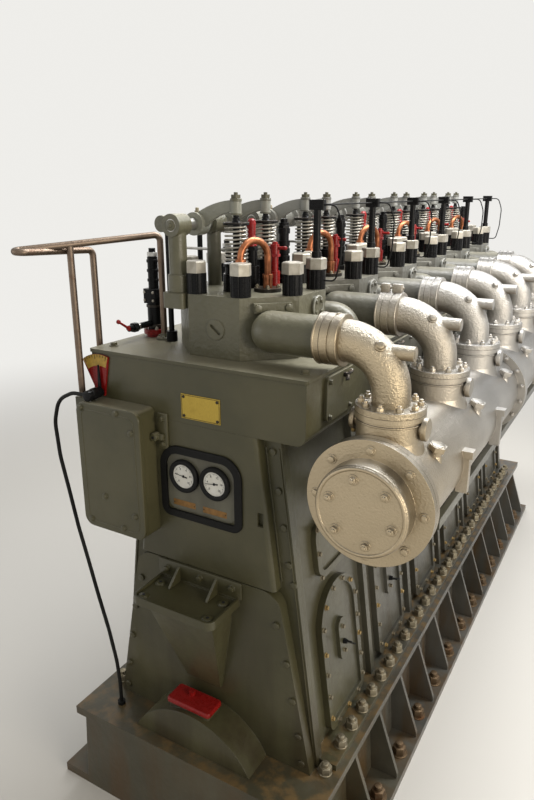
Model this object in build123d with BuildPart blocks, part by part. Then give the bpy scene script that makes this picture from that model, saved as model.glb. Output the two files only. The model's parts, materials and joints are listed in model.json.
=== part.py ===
from build123d import *
import math
import os

os.makedirs("parts", exist_ok=True)

# Six-cylinder marine engine with open valve gear, standing on its bedplate.
# x runs across the engine with the exhaust side at +x, y runs along the crankshaft with the
# gauge end at -y, z runs up from the underside of the bedplate. All sizes are in mm.

# The row of cylinders
pitch = 600.0
count = 6
rows = [pitch * (i - (count - 1) / 2) for i in range(count)]
joints_between = [pitch * (i - (count - 2) / 2) for i in range(count - 1)]
gap = 0.3

# Bedplate
bed_half_length = 2110.0
bed_top = 450.0
bed_flange_half = 635.0
bed_flange_depth = 40.0
bed_wall_foot = 600.0
bed_wall_top = 575.0
foot_half = 750.0
foot_depth = 45.0
foot_bolt_x = 690.0
foot_bolt_r = 22.0
foot_bolt_rows = [300.0 * (i - 6) for i in range(13)]
gusset_rows = [300.0 * (i - 6.5) for i in range(14)]
gusset_depth = 20.0
gusset_inset = 15.0

# Crankcase, an A-frame: half widths at its foot and near its head
case_half_length = 1825.0
case_top = 1930.0
case_foot_half = 529.0
case_taper = (529.0 - 343.0) / (1880.0 - 450.0)
case_inset = 30.0
case_foot_flange = 605.0
case_foot_depth = 28.0
case_head_half = 366.0
case_head_depth = 28.0
end_flange = 25.0
case_tilt = math.degrees(math.atan(case_taper))


def half_width(z):
    # half width of the A-frame over its flanges at height z
    return case_foot_half - (z - bed_top) * case_taper


def across(y):
    # upright plane across the engine at y, facing the gauge end; reads x right and z up
    return Plane(origin=(0, y, 0), x_dir=(1, 0, 0), z_dir=(0, -1, 0))


def along(x):
    # upright plane along the engine at x, facing the exhaust side; reads y right and z up
    return Plane(origin=(x, 0, 0), x_dir=(0, 1, 0), z_dir=(1, 0, 0))


def wall(side, y, z, out=0.0):
    # plane on the leaning side wall of the crankcase, seen from outside, z up the slope
    lean = math.radians(case_tilt)
    normal = (side * math.cos(lean), 0, math.sin(lean))
    x = side * (half_width(z) - case_inset)
    origin = (x + out * normal[0], y, z + out * normal[2])
    return Plane(origin=origin, x_dir=(0, side, 0), z_dir=normal)


def frame_outline(z0, z1, inset):
    # corners of the A-frame section between two heights
    return [
        (-(half_width(z0) - inset), z0),
        (half_width(z0) - inset, z0),
        (half_width(z1) - inset, z1),
        (-(half_width(z1) - inset), z1),
    ]


# Bedplate: box girder with a wide foot and a top flange; gussets stand between the holding-down bolts
with BuildPart() as bedplate:
    with BuildSketch(across(bed_half_length)):
        Polygon(
            (-foot_half, 0),
            (foot_half, 0),
            (foot_half, foot_depth),
            (bed_wall_foot, foot_depth),
            (bed_wall_top, bed_top - bed_flange_depth),
            (bed_flange_half, bed_top - bed_flange_depth),
            (bed_flange_half, bed_top),
            (-bed_flange_half, bed_top),
            (-bed_flange_half, bed_top - bed_flange_depth),
            (-bed_wall_top, bed_top - bed_flange_depth),
            (-bed_wall_foot, foot_depth),
            (-foot_half, foot_depth),
            align=None,
        )
    extrude(amount=2 * bed_half_length)
    with BuildSketch(Plane.XY):
        with Locations(*[(s * foot_bolt_x, y) for s in (-1, 1) for y in foot_bolt_rows]):
            Circle(foot_bolt_r)
    extrude(amount=foot_depth, mode=Mode.SUBTRACT)
bedplate.part.label = "bedplate"
export_step(bedplate.part, "parts/bedplate.step")

with BuildPart() as bed_gussets:
    for gusset_y in gusset_rows:
        with BuildSketch(across(gusset_y + gusset_depth / 2)):
            for side in (-1, 1):
                Polygon(
                    (side * bed_wall_foot, foot_depth),
                    (side * (foot_half - gusset_inset), foot_depth),
                    (side * (foot_half - gusset_inset), foot_depth + 25),
                    (side * (bed_flange_half - gusset_inset), bed_top - bed_flange_depth),
                    (side * bed_wall_top, bed_top - bed_flange_depth),
                    align=None,
                )
        extrude(amount=gusset_depth)
bed_gussets.part.label = "bed_gussets"
export_step(bed_gussets.part, "parts/bed_gussets.step")

# Crankcase: leaning side walls between end flanges, with a rib at every joint between cylinders
with BuildPart() as crankcase:
    with BuildSketch(across(case_half_length)):
        Polygon(*frame_outline(bed_top, case_top, case_inset), align=None)
    extrude(amount=2 * case_half_length)
    for end_y in (case_half_length, -case_half_length + end_flange):
        with BuildSketch(across(end_y)):
            Polygon(*frame_outline(bed_top, case_top, 0), align=None)
        extrude(amount=end_flange)
    for rib_y in joints_between:
        with BuildSketch(across(rib_y + 20)):
            Polygon(*frame_outline(bed_top, case_top, 0), align=None)
        extrude(amount=40)
    with BuildSketch(Plane.XY.offset(bed_top)):
        Rectangle(2 * case_foot_flange, 2 * case_half_length)
    extrude(amount=case_foot_depth)
    with BuildSketch(Plane.XY.offset(case_top - case_head_depth)):
        Rectangle(2 * case_head_half, 2 * case_half_length)
    extrude(amount=case_head_depth)
crankcase.part.label = "crankcase"
export_step(crankcase.part, "parts/crankcase.step")

# Crankcase doors: one tall arched door and one small round-cornered cover to each cylinder
door_low = 492.0
door_high = 1160.0
door_width = 380.0
door_depth = 16.0
door_rim = 34.0
door_rim_depth = 14.0
hatch_low = 1215.0
hatch_high = 1470.0
hatch_width = 300.0

for side, side_name in ((1, "right"), (-1, "left")):
    with BuildPart() as crankcase_doors:
        for y in rows:
            slope = 1 / math.cos(math.radians(case_tilt))
            tall = (door_high - door_low) * slope
            radius = door_width / 2
            with BuildSketch(wall(side, y, door_low)) as door_face:
                with Locations((0, (tall - radius) / 2)):
                    Rectangle(door_width, tall - radius)
                with Locations((0, tall - radius)):
                    Circle(radius)
                fillet(door_face.vertices().sort_by(Axis.Y)[:2], 40)
            extrude(amount=door_depth)
            with BuildSketch(wall(side, y, door_low, door_depth)) as door_ring:
                with Locations((0, (tall - radius) / 2)):
                    Rectangle(door_width, tall - radius)
                with Locations((0, tall - radius)):
                    Circle(radius)
                fillet(door_ring.vertices().sort_by(Axis.Y)[:2], 40)
                offset(amount=-door_rim, mode=Mode.SUBTRACT)
            extrude(amount=door_rim_depth)
            # oblong boss of the relief flap
            with BuildSketch(wall(side, y, door_low, door_depth)):
                with Locations((0, tall * 0.55)):
                    SlotOverall(210, 80, rotation=90)
            extrude(amount=20)
            # small cover above
            high = (hatch_high - hatch_low) * slope
            with BuildSketch(wall(side, y, hatch_low)):
                with Locations((0, high / 2)):
                    RectangleRounded(hatch_width, high, 70)
            extrude(amount=door_depth)
            with BuildSketch(wall(side, y, hatch_low, door_depth)):
                with Locations((0, high / 2)):
                    RectangleRounded(hatch_width, high, 70)
                    RectangleRounded(hatch_width - 60, high - 60, 45, mode=Mode.SUBTRACT)
            extrude(amount=10)
    crankcase_doors.part.label = "crankcase_doors_" + side_name
    export_step(crankcase_doors.part, "parts/crankcase_doors_" + side_name + ".step")

# End covers: a back plate, a raised stem and a trapezoid lower cover with the crank end drum
plate_face = case_half_length + end_flange
cover_face = 1902.0
stem_inset = 75.0
stem_low = 1285.0
lower_high = 1280.0
lower_foot_half = 520.0
lower_taper = 0.195
drum_face = 2050.0
drum_r = 340.0
crank_z = 300.0
lower_head_half = lower_foot_half - lower_taper * (lower_high - bed_top)

with BuildPart() as front_cover:
    with BuildSketch(across(-case_half_length)):
        Polygon(*frame_outline(bed_top, case_top, 0), align=None)
    extrude(amount=plate_face - case_half_length)
    with BuildSketch(across(-plate_face)):
        Polygon(*frame_outline(stem_low, case_top, stem_inset), align=None)
    extrude(amount=cover_face - plate_face)
    stem_edges = front_cover.edges().filter_by_position(Axis.Y, -cover_face - 1, -cover_face + 1)
    upright = [e for e in stem_edges if abs(e.tangent_at(0.5).Z) > 0.9]
    fillet(upright, 20)
    # small latch opening beside the gauges
    with BuildSketch(across(-cover_face)):
        with Locations((278, 1592)):
            Rectangle(26, 60)
    extrude(amount=-18, mode=Mode.SUBTRACT)
front_cover.part.label = "front_cover"
export_step(front_cover.part, "parts/front_cover.step")

shelf_z = 1195.0
shelf_left = -231.0
shelf_right = 175.0
shelf_front = 2110.0
shelf_depth = 28.0
shelf_round = 34.0
shelf_rim = 10.0
lid_left = -135.0
lid_right = 94.0
lid_front = 2034.0
lid_back = 1926.0
lid_seat_z = 650.0

with BuildPart() as lower_front_cover:
    with BuildSketch(across(-plate_face)) as lower_face:
        Polygon(
            (-lower_foot_half, bed_top),
            (lower_foot_half, bed_top),
            (lower_head_half, lower_high),
            (-lower_head_half, lower_high),
            align=None,
        )
        fillet(lower_face.vertices().sort_by(Axis.Y)[-2:], 90)
    extrude(amount=cover_face - plate_face)
    # crank end drum standing on the bedplate
    with BuildSketch(across(-cover_face)):
        with Locations((0, crank_z)):
            Circle(drum_r)
        with Locations((0, bed_top - drum_r)):
            Rectangle(3 * drum_r, 2 * drum_r, mode=Mode.SUBTRACT)
    extrude(amount=drum_face - cover_face)
    # seat of the turning lid on the crown of the drum
    with BuildSketch(Plane.XY.offset(lid_seat_z)):
        with Locations(((lid_left + lid_right) / 2, -(lid_front + lid_back) / 2)):
            RectangleRounded(lid_right - lid_left - 16, lid_front - lid_back - 16, 12)
    extrude(amount=-70)
    # tool shelf with its rim and the tapering bracket under it
    with BuildSketch(Plane.XY.offset(shelf_z)) as shelf_board:
        with Locations(((shelf_left + shelf_right) / 2, -(shelf_front + cover_face) / 2)):
            Rectangle(shelf_right - shelf_left, shelf_front - cover_face)
        fillet(shelf_board.vertices().sort_by(Axis.Y)[:2], shelf_round)
    extrude(amount=-shelf_depth)
    with BuildSketch(Plane.XY.offset(shelf_z)) as shelf_edge:
        with Locations(((shelf_left + shelf_right) / 2, -(shelf_front + cover_face) / 2)):
            Rectangle(shelf_right - shelf_left, shelf_front - cover_face)
        fillet(shelf_edge.vertices().sort_by(Axis.Y)[:2], shelf_round)
        offset(amount=-shelf_rim, mode=Mode.SUBTRACT)
    extrude(amount=shelf_rim)
    with BuildSketch(Plane.XY.offset(shelf_z - shelf_depth)):
        with Locations(((shelf_left + shelf_right) / 2, -(cover_face + 80))):
            Rectangle(shelf_right - shelf_left - 60, 160)
    with BuildSketch(Plane.XY.offset(shelf_z - 470)):
        with Locations((-10, -(cover_face + 8))):
            Rectangle(180, 16)
    loft()
lower_front_cover.part.label = "lower_front_cover"
export_step(lower_front_cover.part, "parts/lower_front_cover.step")

with BuildPart() as turning_lid:
    with BuildSketch(Plane.XY.offset(lid_seat_z)):
        with Locations(((lid_left + lid_right) / 2, -(lid_front + lid_back) / 2)):
            RectangleRounded(lid_right - lid_left, lid_front - lid_back, 16)
    extrude(amount=20)
    fillet(turning_lid.faces().sort_by(Axis.Z)[-1].edges(), 9)
    with Locations((-44, -1962, lid_seat_z + 28)):
        Cylinder(15, 20)
turning_lid.part.label = "turning_lid"
export_step(turning_lid.part, "parts/turning_lid.step")

with BuildPart() as rear_cover:
    with BuildSketch(across(plate_face)):
        Polygon(*frame_outline(bed_top, case_top, 0), align=None)
    extrude(amount=plate_face - case_half_length)
    with BuildSketch(across(cover_face)):
        Polygon(*frame_outline(stem_low, case_top, stem_inset), align=None)
    extrude(amount=cover_face - plate_face)
    with BuildSketch(across(cover_face)) as rear_face:
        Polygon(
            (-lower_foot_half, bed_top),
            (lower_foot_half, bed_top),
            (lower_head_half, lower_high),
            (-lower_head_half, lower_high),
            align=None,
        )
        fillet(rear_face.vertices().sort_by(Axis.Y)[-2:], 90)
    extrude(amount=cover_face - plate_face)
    with BuildSketch(across(drum_face)):
        with Locations((0, crank_z)):
            Circle(drum_r)
        with Locations((0, bed_top - drum_r)):
            Rectangle(3 * drum_r, 2 * drum_r, mode=Mode.SUBTRACT)
    extrude(amount=drum_face - cover_face)
rear_cover.part.label = "rear_cover"
export_step(rear_cover.part, "parts/rear_cover.step")

# Output end of the crankshaft: oil seal ring on the bedplate, shaft and coupling flange
shaft_r = 110.0
seal_r = 148.0
coupling_r = 235.0
coupling_depth = 60.0
coupling_face = bed_half_length + 200.0
coupling_circle_r = 180.0
coupling_bolt_r = 17.0
coupling_bolts = 8

with BuildPart() as output_shaft:
    with BuildSketch(across(bed_half_length + 30)):
        with Locations((0, crank_z)):
            Circle(seal_r)
    extrude(amount=30)
    with BuildSketch(across(coupling_face)):
        with Locations((0, crank_z)):
            Circle(shaft_r)
    extrude(amount=coupling_face - bed_half_length)
    with BuildSketch(across(coupling_face)):
        with Locations((0, crank_z)):
            Circle(coupling_r)
    extrude(amount=coupling_depth)
    with BuildSketch(across(coupling_face)):
        with Locations((0, crank_z)):
            with PolarLocations(coupling_circle_r, coupling_bolts):
                Circle(coupling_bolt_r)
    extrude(amount=coupling_depth, mode=Mode.SUBTRACT)
output_shaft.part.label = "output_shaft"
export_step(output_shaft.part, "parts/output_shaft.step")

# Cylinder block: the long box under the heads, with a thin lip round its deck
block_left = -551.0
block_right = 469.0
deck_z = 2184.0
lip = 8.0
lip_depth = 14.0
block_round = 42.0
block_mid = (block_left + block_right) / 2
block_width = block_right - block_left

with BuildPart() as cylinder_block:
    with BuildSketch(across(cover_face)) as block_face:
        with Locations((block_mid, (case_top + deck_z) / 2)):
            Rectangle(block_width, deck_z - case_top)
        fillet(block_face.vertices().sort_by(Axis.Y)[:2], block_round)
    extrude(amount=2 * cover_face)
    with BuildSketch(Plane.XY.offset(deck_z - lip_depth)):
        with Locations((block_mid, 0)):
            RectangleRounded(block_width + 2 * lip, 2 * (cover_face + lip), 12)
    extrude(amount=lip_depth)
cylinder_block.part.label = "cylinder_block"
export_step(cylinder_block.part, "parts/cylinder_block.step")

# Side covers of the block: air trunk covers at the right, camshaft covers at the left
side_cover_length = 520.0
side_cover_low = 1985.0
side_cover_high = 2160.0
side_cover_depth = 14.0

with BuildPart() as block_side_covers:
    for side_x, out in ((block_right, 1), (block_left, -1)):
        with BuildSketch(along(side_x)):
            with Locations(*[(y, (side_cover_low + side_cover_high) / 2) for y in rows]):
                RectangleRounded(side_cover_length, side_cover_high - side_cover_low, 24)
        extrude(amount=out * side_cover_depth)
block_side_covers.part.label = "block_side_covers"
export_step(block_side_covers.part, "parts/block_side_covers.step")

# Gauge panel on the front cover
gauge_mid_x = -3.0
gauge_mid_z = 1667.0
gauge_frame_width = 400.0
gauge_frame_height = 322.0
gauge_frame_rim = 32.0
gauge_frame_depth = 12.0
gauge_frame_crown = 95.0
gauge_frame_foot = 45.0
gauge_places = [(-81.0, 1702.0), (71.0, 1702.0)]
gauge_r = 71.0
gauge_dial_r = 61.0
gauge_depth = 15.0

with BuildPart() as gauge_frame:
    with BuildSketch(across(-cover_face)) as frame_face:
        with Locations((gauge_mid_x, gauge_mid_z)):
            Rectangle(gauge_frame_width, gauge_frame_height)
        fillet(frame_face.vertices().sort_by(Axis.Y)[-2:], gauge_frame_crown)
        fillet(frame_face.vertices().sort_by(Axis.Y)[:2], gauge_frame_foot)
        offset(amount=-gauge_frame_rim, mode=Mode.SUBTRACT)
    extrude(amount=gauge_frame_depth)
    fillet(gauge_frame.faces().sort_by(Axis.Y)[0].outer_wire().edges(), 6)
gauge_frame.part.label = "gauge_frame"
export_step(gauge_frame.part, "parts/gauge_frame.step")

with BuildPart() as pressure_gauges:
    with BuildSketch(across(-cover_face)):
        with Locations(*gauge_places):
            Circle(gauge_r)
    extrude(amount=gauge_depth)
    with BuildSketch(across(-cover_face - gauge_depth)):
        with Locations(*gauge_places):
            Circle(gauge_dial_r)
    extrude(amount=-5, mode=Mode.SUBTRACT)
pressure_gauges.part.label = "pressure_gauges"
export_step(pressure_gauges.part, "parts/pressure_gauges.step")

with BuildPart() as name_plate:
    with BuildSketch(across(-cover_face)):
        with Locations((8, 2005)):
            Rectangle(186, 102)
    extrude(amount=2.5)
name_plate.part.label = "name_plate"
export_step(name_plate.part, "parts/name_plate.step")

# Control box at the left front, its bolted lid and the load quadrant above it
box_left = -557.0
box_right = -225.0
box_low = 1410.0
box_high = 1975.0
box_face = 1990.0
box_lid_depth = 20.0
box_mid_x = (box_left + box_right) / 2
box_mid_z = (box_low + box_high) / 2
rail_post_x = -590.0
rail_post_y = -1937.0

with BuildPart() as control_box:
    with BuildSketch(across(-cover_face)):
        with Locations((box_mid_x, box_mid_z)):
            RectangleRounded(box_right - box_left, box_high - box_low, 26)
    extrude(amount=box_face - cover_face)
    # ear that carries the post of the guard rail
    with BuildSketch(Plane.XY.offset(box_high - 60)):
        with Locations(((box_left + rail_post_x - 22) / 2 + 10, rail_post_y)):
            Rectangle(box_left - rail_post_x + 42, 44)
    extrude(amount=60)
control_box.part.label = "control_box"
export_step(control_box.part, "parts/control_box.step")

with BuildPart() as control_box_lid:
    with BuildSketch(across(-box_face)) as lid_face:
        with Locations((box_mid_x, box_mid_z)):
            Rectangle(box_right - box_left + 12, box_high - box_low + 8)
        fillet(lid_face.vertices(), 46)
    extrude(amount=box_lid_depth)
    fillet(control_box_lid.faces().sort_by(Axis.Y)[0].edges(), 5)
control_box_lid.part.label = "control_box_lid"
export_step(control_box_lid.part, "parts/control_box_lid.step")

hub_x = -505.0
hub_z = 2002.0
quadrant_r = 162.0
quadrant_from = 72.0
quadrant_to = 126.0
quadrant_depth = 8.0
axle_r = 8.0
pointer_back = cover_face + quadrant_depth + 5
pointer_depth = 6.0
union_back = pointer_back + pointer_depth + 5
union_front = 1998.0
union_r = 22.0
conduit_y = -1985.0
conduit_r = 8.5

with BuildPart() as control_quadrant:
    with BuildSketch(across(-cover_face)):
        with BuildLine():
            a0 = math.radians(quadrant_from)
            a1 = math.radians(quadrant_to)
            am = (a0 + a1) / 2
            tip0 = (hub_x + quadrant_r * math.cos(a0), hub_z + quadrant_r * math.sin(a0))
            tip1 = (hub_x + quadrant_r * math.cos(a1), hub_z + quadrant_r * math.sin(a1))
            tipm = (hub_x + quadrant_r * math.cos(am), hub_z + quadrant_r * math.sin(am))
            foot0 = (hub_x + 18, hub_z - 18)
            foot1 = (hub_x - 18, hub_z - 18)
            Line(foot1, foot0)
            Line(foot0, tip0)
            ThreePointArc(tip0, tipm, tip1)
            Line(tip1, foot1)
        make_face()
    extrude(amount=quadrant_depth)
    with BuildSketch(across(-cover_face)):
        with Locations((hub_x, hub_z)):
            Circle(axle_r)
    extrude(amount=union_front - cover_face)
    with BuildSketch(across(-union_back)):
        with Locations((hub_x, hub_z)):
            Circle(union_r)
    extrude(amount=union_front - union_back)
control_quadrant.part.label = "control_quadrant"
export_step(control_quadrant.part, "parts/control_quadrant.step")

pointer_length = 118.0

with BuildPart() as control_pointer:
    with BuildSketch(across(-pointer_back)):
        with Locations((hub_x, hub_z)):
            Circle(20)
        Polygon(
            (hub_x - 9, hub_z),
            (hub_x + 9, hub_z),
            (hub_x + 2.5, hub_z + pointer_length),
            (hub_x - 2.5, hub_z + pointer_length),
            align=None,
        )
        with Locations((hub_x, hub_z)):
            Circle(axle_r + gap, mode=Mode.SUBTRACT)
    extrude(amount=pointer_depth)
control_pointer.part.label = "control_pointer"
export_step(control_pointer.part, "parts/control_pointer.step")

conduit_foot_x = -458.0
conduit_points = [
    (hub_x - union_r - gap, hub_z),
    (-600, 2000),
    (-688, 1958),
    (-724, 1850),
    (-712, 1690),
    (-676, 1530),
    (-640, 1360),
    (-594, 1190),
    (-550, 1020),
    (-502, 850),
    (-468, 690),
    (conduit_foot_x, 570),
    (conduit_foot_x, bed_top),
]
conduit_bends = [90, 110, 150, 300, 600, 600, 600, 600, 600, 500, 400]

with BuildPart() as control_conduit:
    with BuildLine() as conduit_route:
        FilletPolyline(*[(x, conduit_y, z) for x, z in conduit_points], radius=conduit_bends)
    with BuildSketch(Plane(origin=conduit_route.line @ 0, z_dir=conduit_route.line % 0)):
        Circle(conduit_r)
    sweep(path=conduit_route.line)
    # foot ring on the bedplate
    with Locations((conduit_foot_x, conduit_y, bed_top + 9)):
        Cylinder(18, 18)
control_conduit.part.label = "control_conduit"
export_step(control_conduit.part, "parts/control_conduit.step")

# Cylinder heads: eight-sided castings with the exhaust stub towards the front right
head_apothem = 288.0
head_high = 2430.0
stub_y = -246.0
port_z = 2308.0
stub_r = 80.0
stub_end = 450.0
stub_start = 240.0
clamp_bar = (150.0, 26.0, 36.0)
pad_x = -188.0
pad_y = -253.0
intake_y = 195.0
intake_r = 58.0
intake_start = 290.0
plug_r = 41.0

with BuildPart() as cylinder_heads:
    for y in rows:
        with BuildSketch(Plane.XY.offset(deck_z)):
            with Locations((0, y)):
                RegularPolygon(head_apothem, 8, major_radius=False, rotation=22.5)
        extrude(amount=head_high - deck_z)
        # pad under the rocker pedestal
        with BuildSketch(Plane.XY.offset(head_high - 62)):
            with Locations((pad_x, y + pad_y)):
                RectangleRounded(100, 100, 14)
        extrude(amount=62)
        # round core plug on the front face
        with BuildSketch(across(y - head_apothem + 1)):
            with Locations((9, port_z - 9)):
                Circle(plug_r)
        extrude(amount=5)
        with BuildSketch(across(y - head_apothem - 4)):
            with Locations((9, port_z - 9)):
                SlotOverall(56, 13, rotation=-38)
        extrude(amount=-9, mode=Mode.SUBTRACT)
        # exhaust stub
        with BuildSketch(along(stub_end)):
            with Locations((y + stub_y, port_z)):
                Circle(stub_r)
        extrude(amount=stub_start - stub_end)
        with Locations((stub_start, y + stub_y, port_z)):
            Sphere(stub_r)
        # intake stub
        with BuildSketch(along(intake_start)):
            with Locations((y + intake_y, port_z)):
                Circle(intake_r)
        extrude(amount=-150)
        # small round cover on the right face
        with BuildSketch(along(head_apothem - 1)):
            with Locations((y + 24, port_z + 62)):
                Circle(43)
        extrude(amount=15)
        # clamp bar on the front right face
        with Locations(Location((219, y - 205, head_high - 38), (0, 0, 45))):
            Box(*clamp_bar)
cylinder_heads.part.label = "cylinder_heads"
export_step(cylinder_heads.part, "parts/cylinder_heads.step")

# Head studs: fluted sleeves and hexagon nuts, eight round every cylinder
stud_circle_r = 270.0
stud_angle = 22.5
sleeve_r = 40.0
sleeve_top = 2511.0
nut_half = 37.5
nut_top = 2557.0

with BuildPart() as stud_sleeves:
    with BuildSketch(Plane.XY.offset(head_high)):
        for y in rows:
            with Locations((0, y)):
                with PolarLocations(stud_circle_r, 8, start_angle=stud_angle):
                    Circle(sleeve_r)
                    with PolarLocations(sleeve_r + 1.5, 12):
                        Circle(4.5, mode=Mode.SUBTRACT)
    extrude(amount=sleeve_top - head_high)
stud_sleeves.part.label = "stud_sleeves"
export_step(stud_sleeves.part, "parts/stud_sleeves.step")

with BuildPart() as head_nuts:
    with BuildSketch(Plane.XY.offset(sleeve_top)):
        for y in rows:
            with Locations((0, y)):
                with PolarLocations(stud_circle_r, 8, start_angle=stud_angle):
                    RegularPolygon(nut_half, 6, major_radius=False)
    extrude(amount=nut_top - sleeve_top)
    chamfer(head_nuts.faces().filter_by(Axis.Z).group_by(Axis.Z)[-1].edges(), 4)
head_nuts.part.label = "head_nuts"
export_step(head_nuts.part, "parts/head_nuts.step")

# Valve gear: cages, open coil springs, caps, rockers, pedestals, shafts and push rods
valve_y = 115.0
cage_r = 55.0
cage_top = 2540.0
spring_top = 2689.0
spring_r = 43.5
wire_r = 4.25
spring_turns = 9
cap_r = 52.0
cap_top = 2697.0
stem_r = 10.0
tip_low = 2727.0
tip_top = 2790.0
tip_r = 22.0
pivot_x = -188.0
pivot_z = 2690.0
shaft_half = 24.0
hub_outer = 46.0
hub_half_width = 30.0
push_x = -345.0
push_r = 12.0
push_top = 2664.0
valve_places = [(0.0, y + s * valve_y) for y in rows for s in (-1, 1)]

with BuildPart() as valve_cages:
    with BuildSketch(Plane.XY.offset(head_high)):
        with Locations(*valve_places):
            Circle(cage_r)
    extrude(amount=70)
    with BuildSketch(Plane.XY.offset(head_high + 70)):
        with Locations(*valve_places):
            Circle(cage_r - 8)
    extrude(amount=cage_top - head_high - 82)
    with BuildSketch(Plane.XY.offset(cage_top - 12)):
        with Locations(*valve_places):
            Circle(cage_r - 2)
    extrude(amount=12)
    with BuildSketch(Plane.XY.offset(cage_top)):
        with Locations(*valve_places):
            Circle(14)
    extrude(amount=spring_top - cage_top)
valve_cages.part.label = "valve_cages"
export_step(valve_cages.part, "parts/valve_cages.step")

with BuildPart() as valve_springs:
    spring_height = spring_top - cage_top - 2 * wire_r - 2 * gap
    for x, y in valve_places:
        with BuildLine() as coil:
            Helix(
                pitch=spring_height / spring_turns,
                height=spring_height,
                radius=spring_r,
                center=(x, y, cage_top + wire_r + gap),
            )
        with BuildSketch(Plane(origin=coil.line @ 0, z_dir=coil.line % 0)):
            RegularPolygon(wire_r, 12)
        sweep(path=coil.line, is_frenet=True)
valve_springs.part.label = "valve_springs"
export_step(valve_springs.part, "parts/valve_springs.step")

with BuildPart() as spring_caps:
    with BuildSketch(Plane.XY.offset(spring_top)):
        with Locations(*valve_places):
            Circle(cap_r)
    extrude(amount=cap_top - spring_top)
    with BuildSketch(Plane.XY.offset(cap_top)):
        with Locations(*valve_places):
            Circle(stem_r)
    extrude(amount=tip_low - cap_top)
spring_caps.part.label = "spring_caps"
export_step(spring_caps.part, "parts/spring_caps.step")

with BuildPart() as rocker_arms:
    for x, y in valve_places:
        with BuildSketch(across(y + 10)):
            with BuildLine():
                Line((pivot_x, pivot_z + 40), (pivot_x - 20, pivot_z - 40))
                Line((pivot_x - 20, pivot_z - 40), (pivot_x + 25, pivot_z - 36))
                ThreePointArc((pivot_x + 25, pivot_z - 36), (-80, 2722), (-12, 2738))
                Line((-12, 2738), (-12, 2784))
                ThreePointArc((-12, 2784), (-95, 2770), (pivot_x, pivot_z + 40))
            make_face()
        extrude(amount=20)
        with BuildSketch(across(y + 10)):
            with BuildLine():
                Line((pivot_x + 10, pivot_z + 40), (pivot_x + 10, pivot_z - 36))
                Line((pivot_x + 10, pivot_z - 36), (push_x, push_top + 4))
                Line((push_x, push_top + 4), (push_x, push_top + 42))
                Line((push_x, push_top + 42), (pivot_x + 10, pivot_z + 40))
            make_face()
        extrude(amount=20)
        # pivot hub
        with BuildSketch(across(y + hub_half_width)):
            with Locations((pivot_x, pivot_z)):
                Circle(hub_outer)
        extrude(amount=2 * hub_half_width)
        with BuildSketch(across(y + hub_half_width)):
            with Locations((pivot_x, pivot_z)):
                Circle(shaft_half + gap)
        extrude(amount=2 * hub_half_width, mode=Mode.SUBTRACT)
    # adjusting boss over the valve and cup over the push rod; the lock nuts are separate
    with BuildSketch(Plane.XY.offset(tip_low)):
        with Locations(*valve_places):
            Circle(tip_r)
    extrude(amount=tip_top - tip_low)
    with BuildSketch(Plane.XY.offset(push_top)):
        with Locations(*[(push_x, y) for x, y in valve_places]):
            Circle(19)
    extrude(amount=46)
rocker_arms.part.label = "rocker_arms"
export_step(rocker_arms.part, "parts/rocker_arms.step")

lock_nut_half = 18.0
lock_nut_top = tip_top + 14

with BuildPart() as adjusting_nuts:
    with BuildSketch(Plane.XY.offset(tip_top)):
        with Locations(*valve_places):
            RegularPolygon(lock_nut_half, 6, major_radius=False)
    extrude(amount=lock_nut_top - tip_top)
    with BuildSketch(Plane.XY.offset(lock_nut_top)):
        with Locations(*valve_places):
            Circle(8)
    extrude(amount=9)
adjusting_nuts.part.label = "adjusting_nuts"
export_step(adjusting_nuts.part, "parts/adjusting_nuts.step")

pedestal_base_r = 43.5
pedestal_r = 36.0
boss_r = 44.0
boss_half = 40.0

with BuildPart() as rocker_pedestals:
    for y in rows:
        with Locations((pad_x, y + pad_y, head_high + 33)):
            Cylinder(pedestal_base_r, 66)
        with BuildSketch(Plane.XY.offset(head_high + 60)):
            with Locations((pad_x, y + pad_y)):
                Circle(pedestal_r)
        extrude(amount=pivot_z - head_high - 60)
        with BuildSketch(Plane.XY.offset(head_high)):
            with Locations((pad_x, y)):
                Circle(30)
        extrude(amount=pivot_z - head_high)
        for boss_y in (y + pad_y, y):
            with BuildSketch(across(boss_y + boss_half)):
                with Locations((pivot_x, pivot_z)):
                    Circle(boss_r)
            extrude(amount=2 * boss_half)
            with BuildSketch(across(boss_y + boss_half)):
                with Locations((pivot_x, pivot_z)):
                    Circle(shaft_half + gap)
            extrude(amount=2 * boss_half, mode=Mode.SUBTRACT)
        # second boss beside the front post
        with BuildSketch(across(y + pad_y + 22)):
            with Locations((pivot_x - 62, pivot_z + 4)):
                Circle(32)
        extrude(amount=44)
        with BuildSketch(across(y + pad_y + 16)):
            with Locations((pivot_x - 50, pivot_z - 14)):
                Rectangle(40, 26)
        extrude(amount=32)
rocker_pedestals.part.label = "rocker_pedestals"
export_step(rocker_pedestals.part, "parts/rocker_pedestals.step")

with BuildPart() as rocker_shafts:
    for y in rows:
        with BuildSketch(across(y + 162)):
            with Locations((pivot_x, pivot_z)):
                Circle(shaft_half)
        extrude(amount=162 - pad_y + boss_half)
rocker_shafts.part.label = "rocker_shafts"
export_step(rocker_shafts.part, "parts/rocker_shafts.step")

with BuildPart() as push_rods:
    with BuildSketch(Plane.XY.offset(deck_z)):
        with Locations(*[(push_x, y) for x, y in valve_places]):
            Circle(push_r)
    extrude(amount=push_top - deck_z)
    with BuildSketch(Plane.XY.offset(deck_z)):
        with Locations(*[(push_x, y) for x, y in valve_places]):
            Circle(24)
    extrude(amount=46)
push_rods.part.label = "push_rods"
export_step(push_rods.part, "parts/push_rods.step")

# Injectors with their red caps, relief valves and starting air valves on every head
injector_r = 35.0
injector_top = 2600.0

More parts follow.
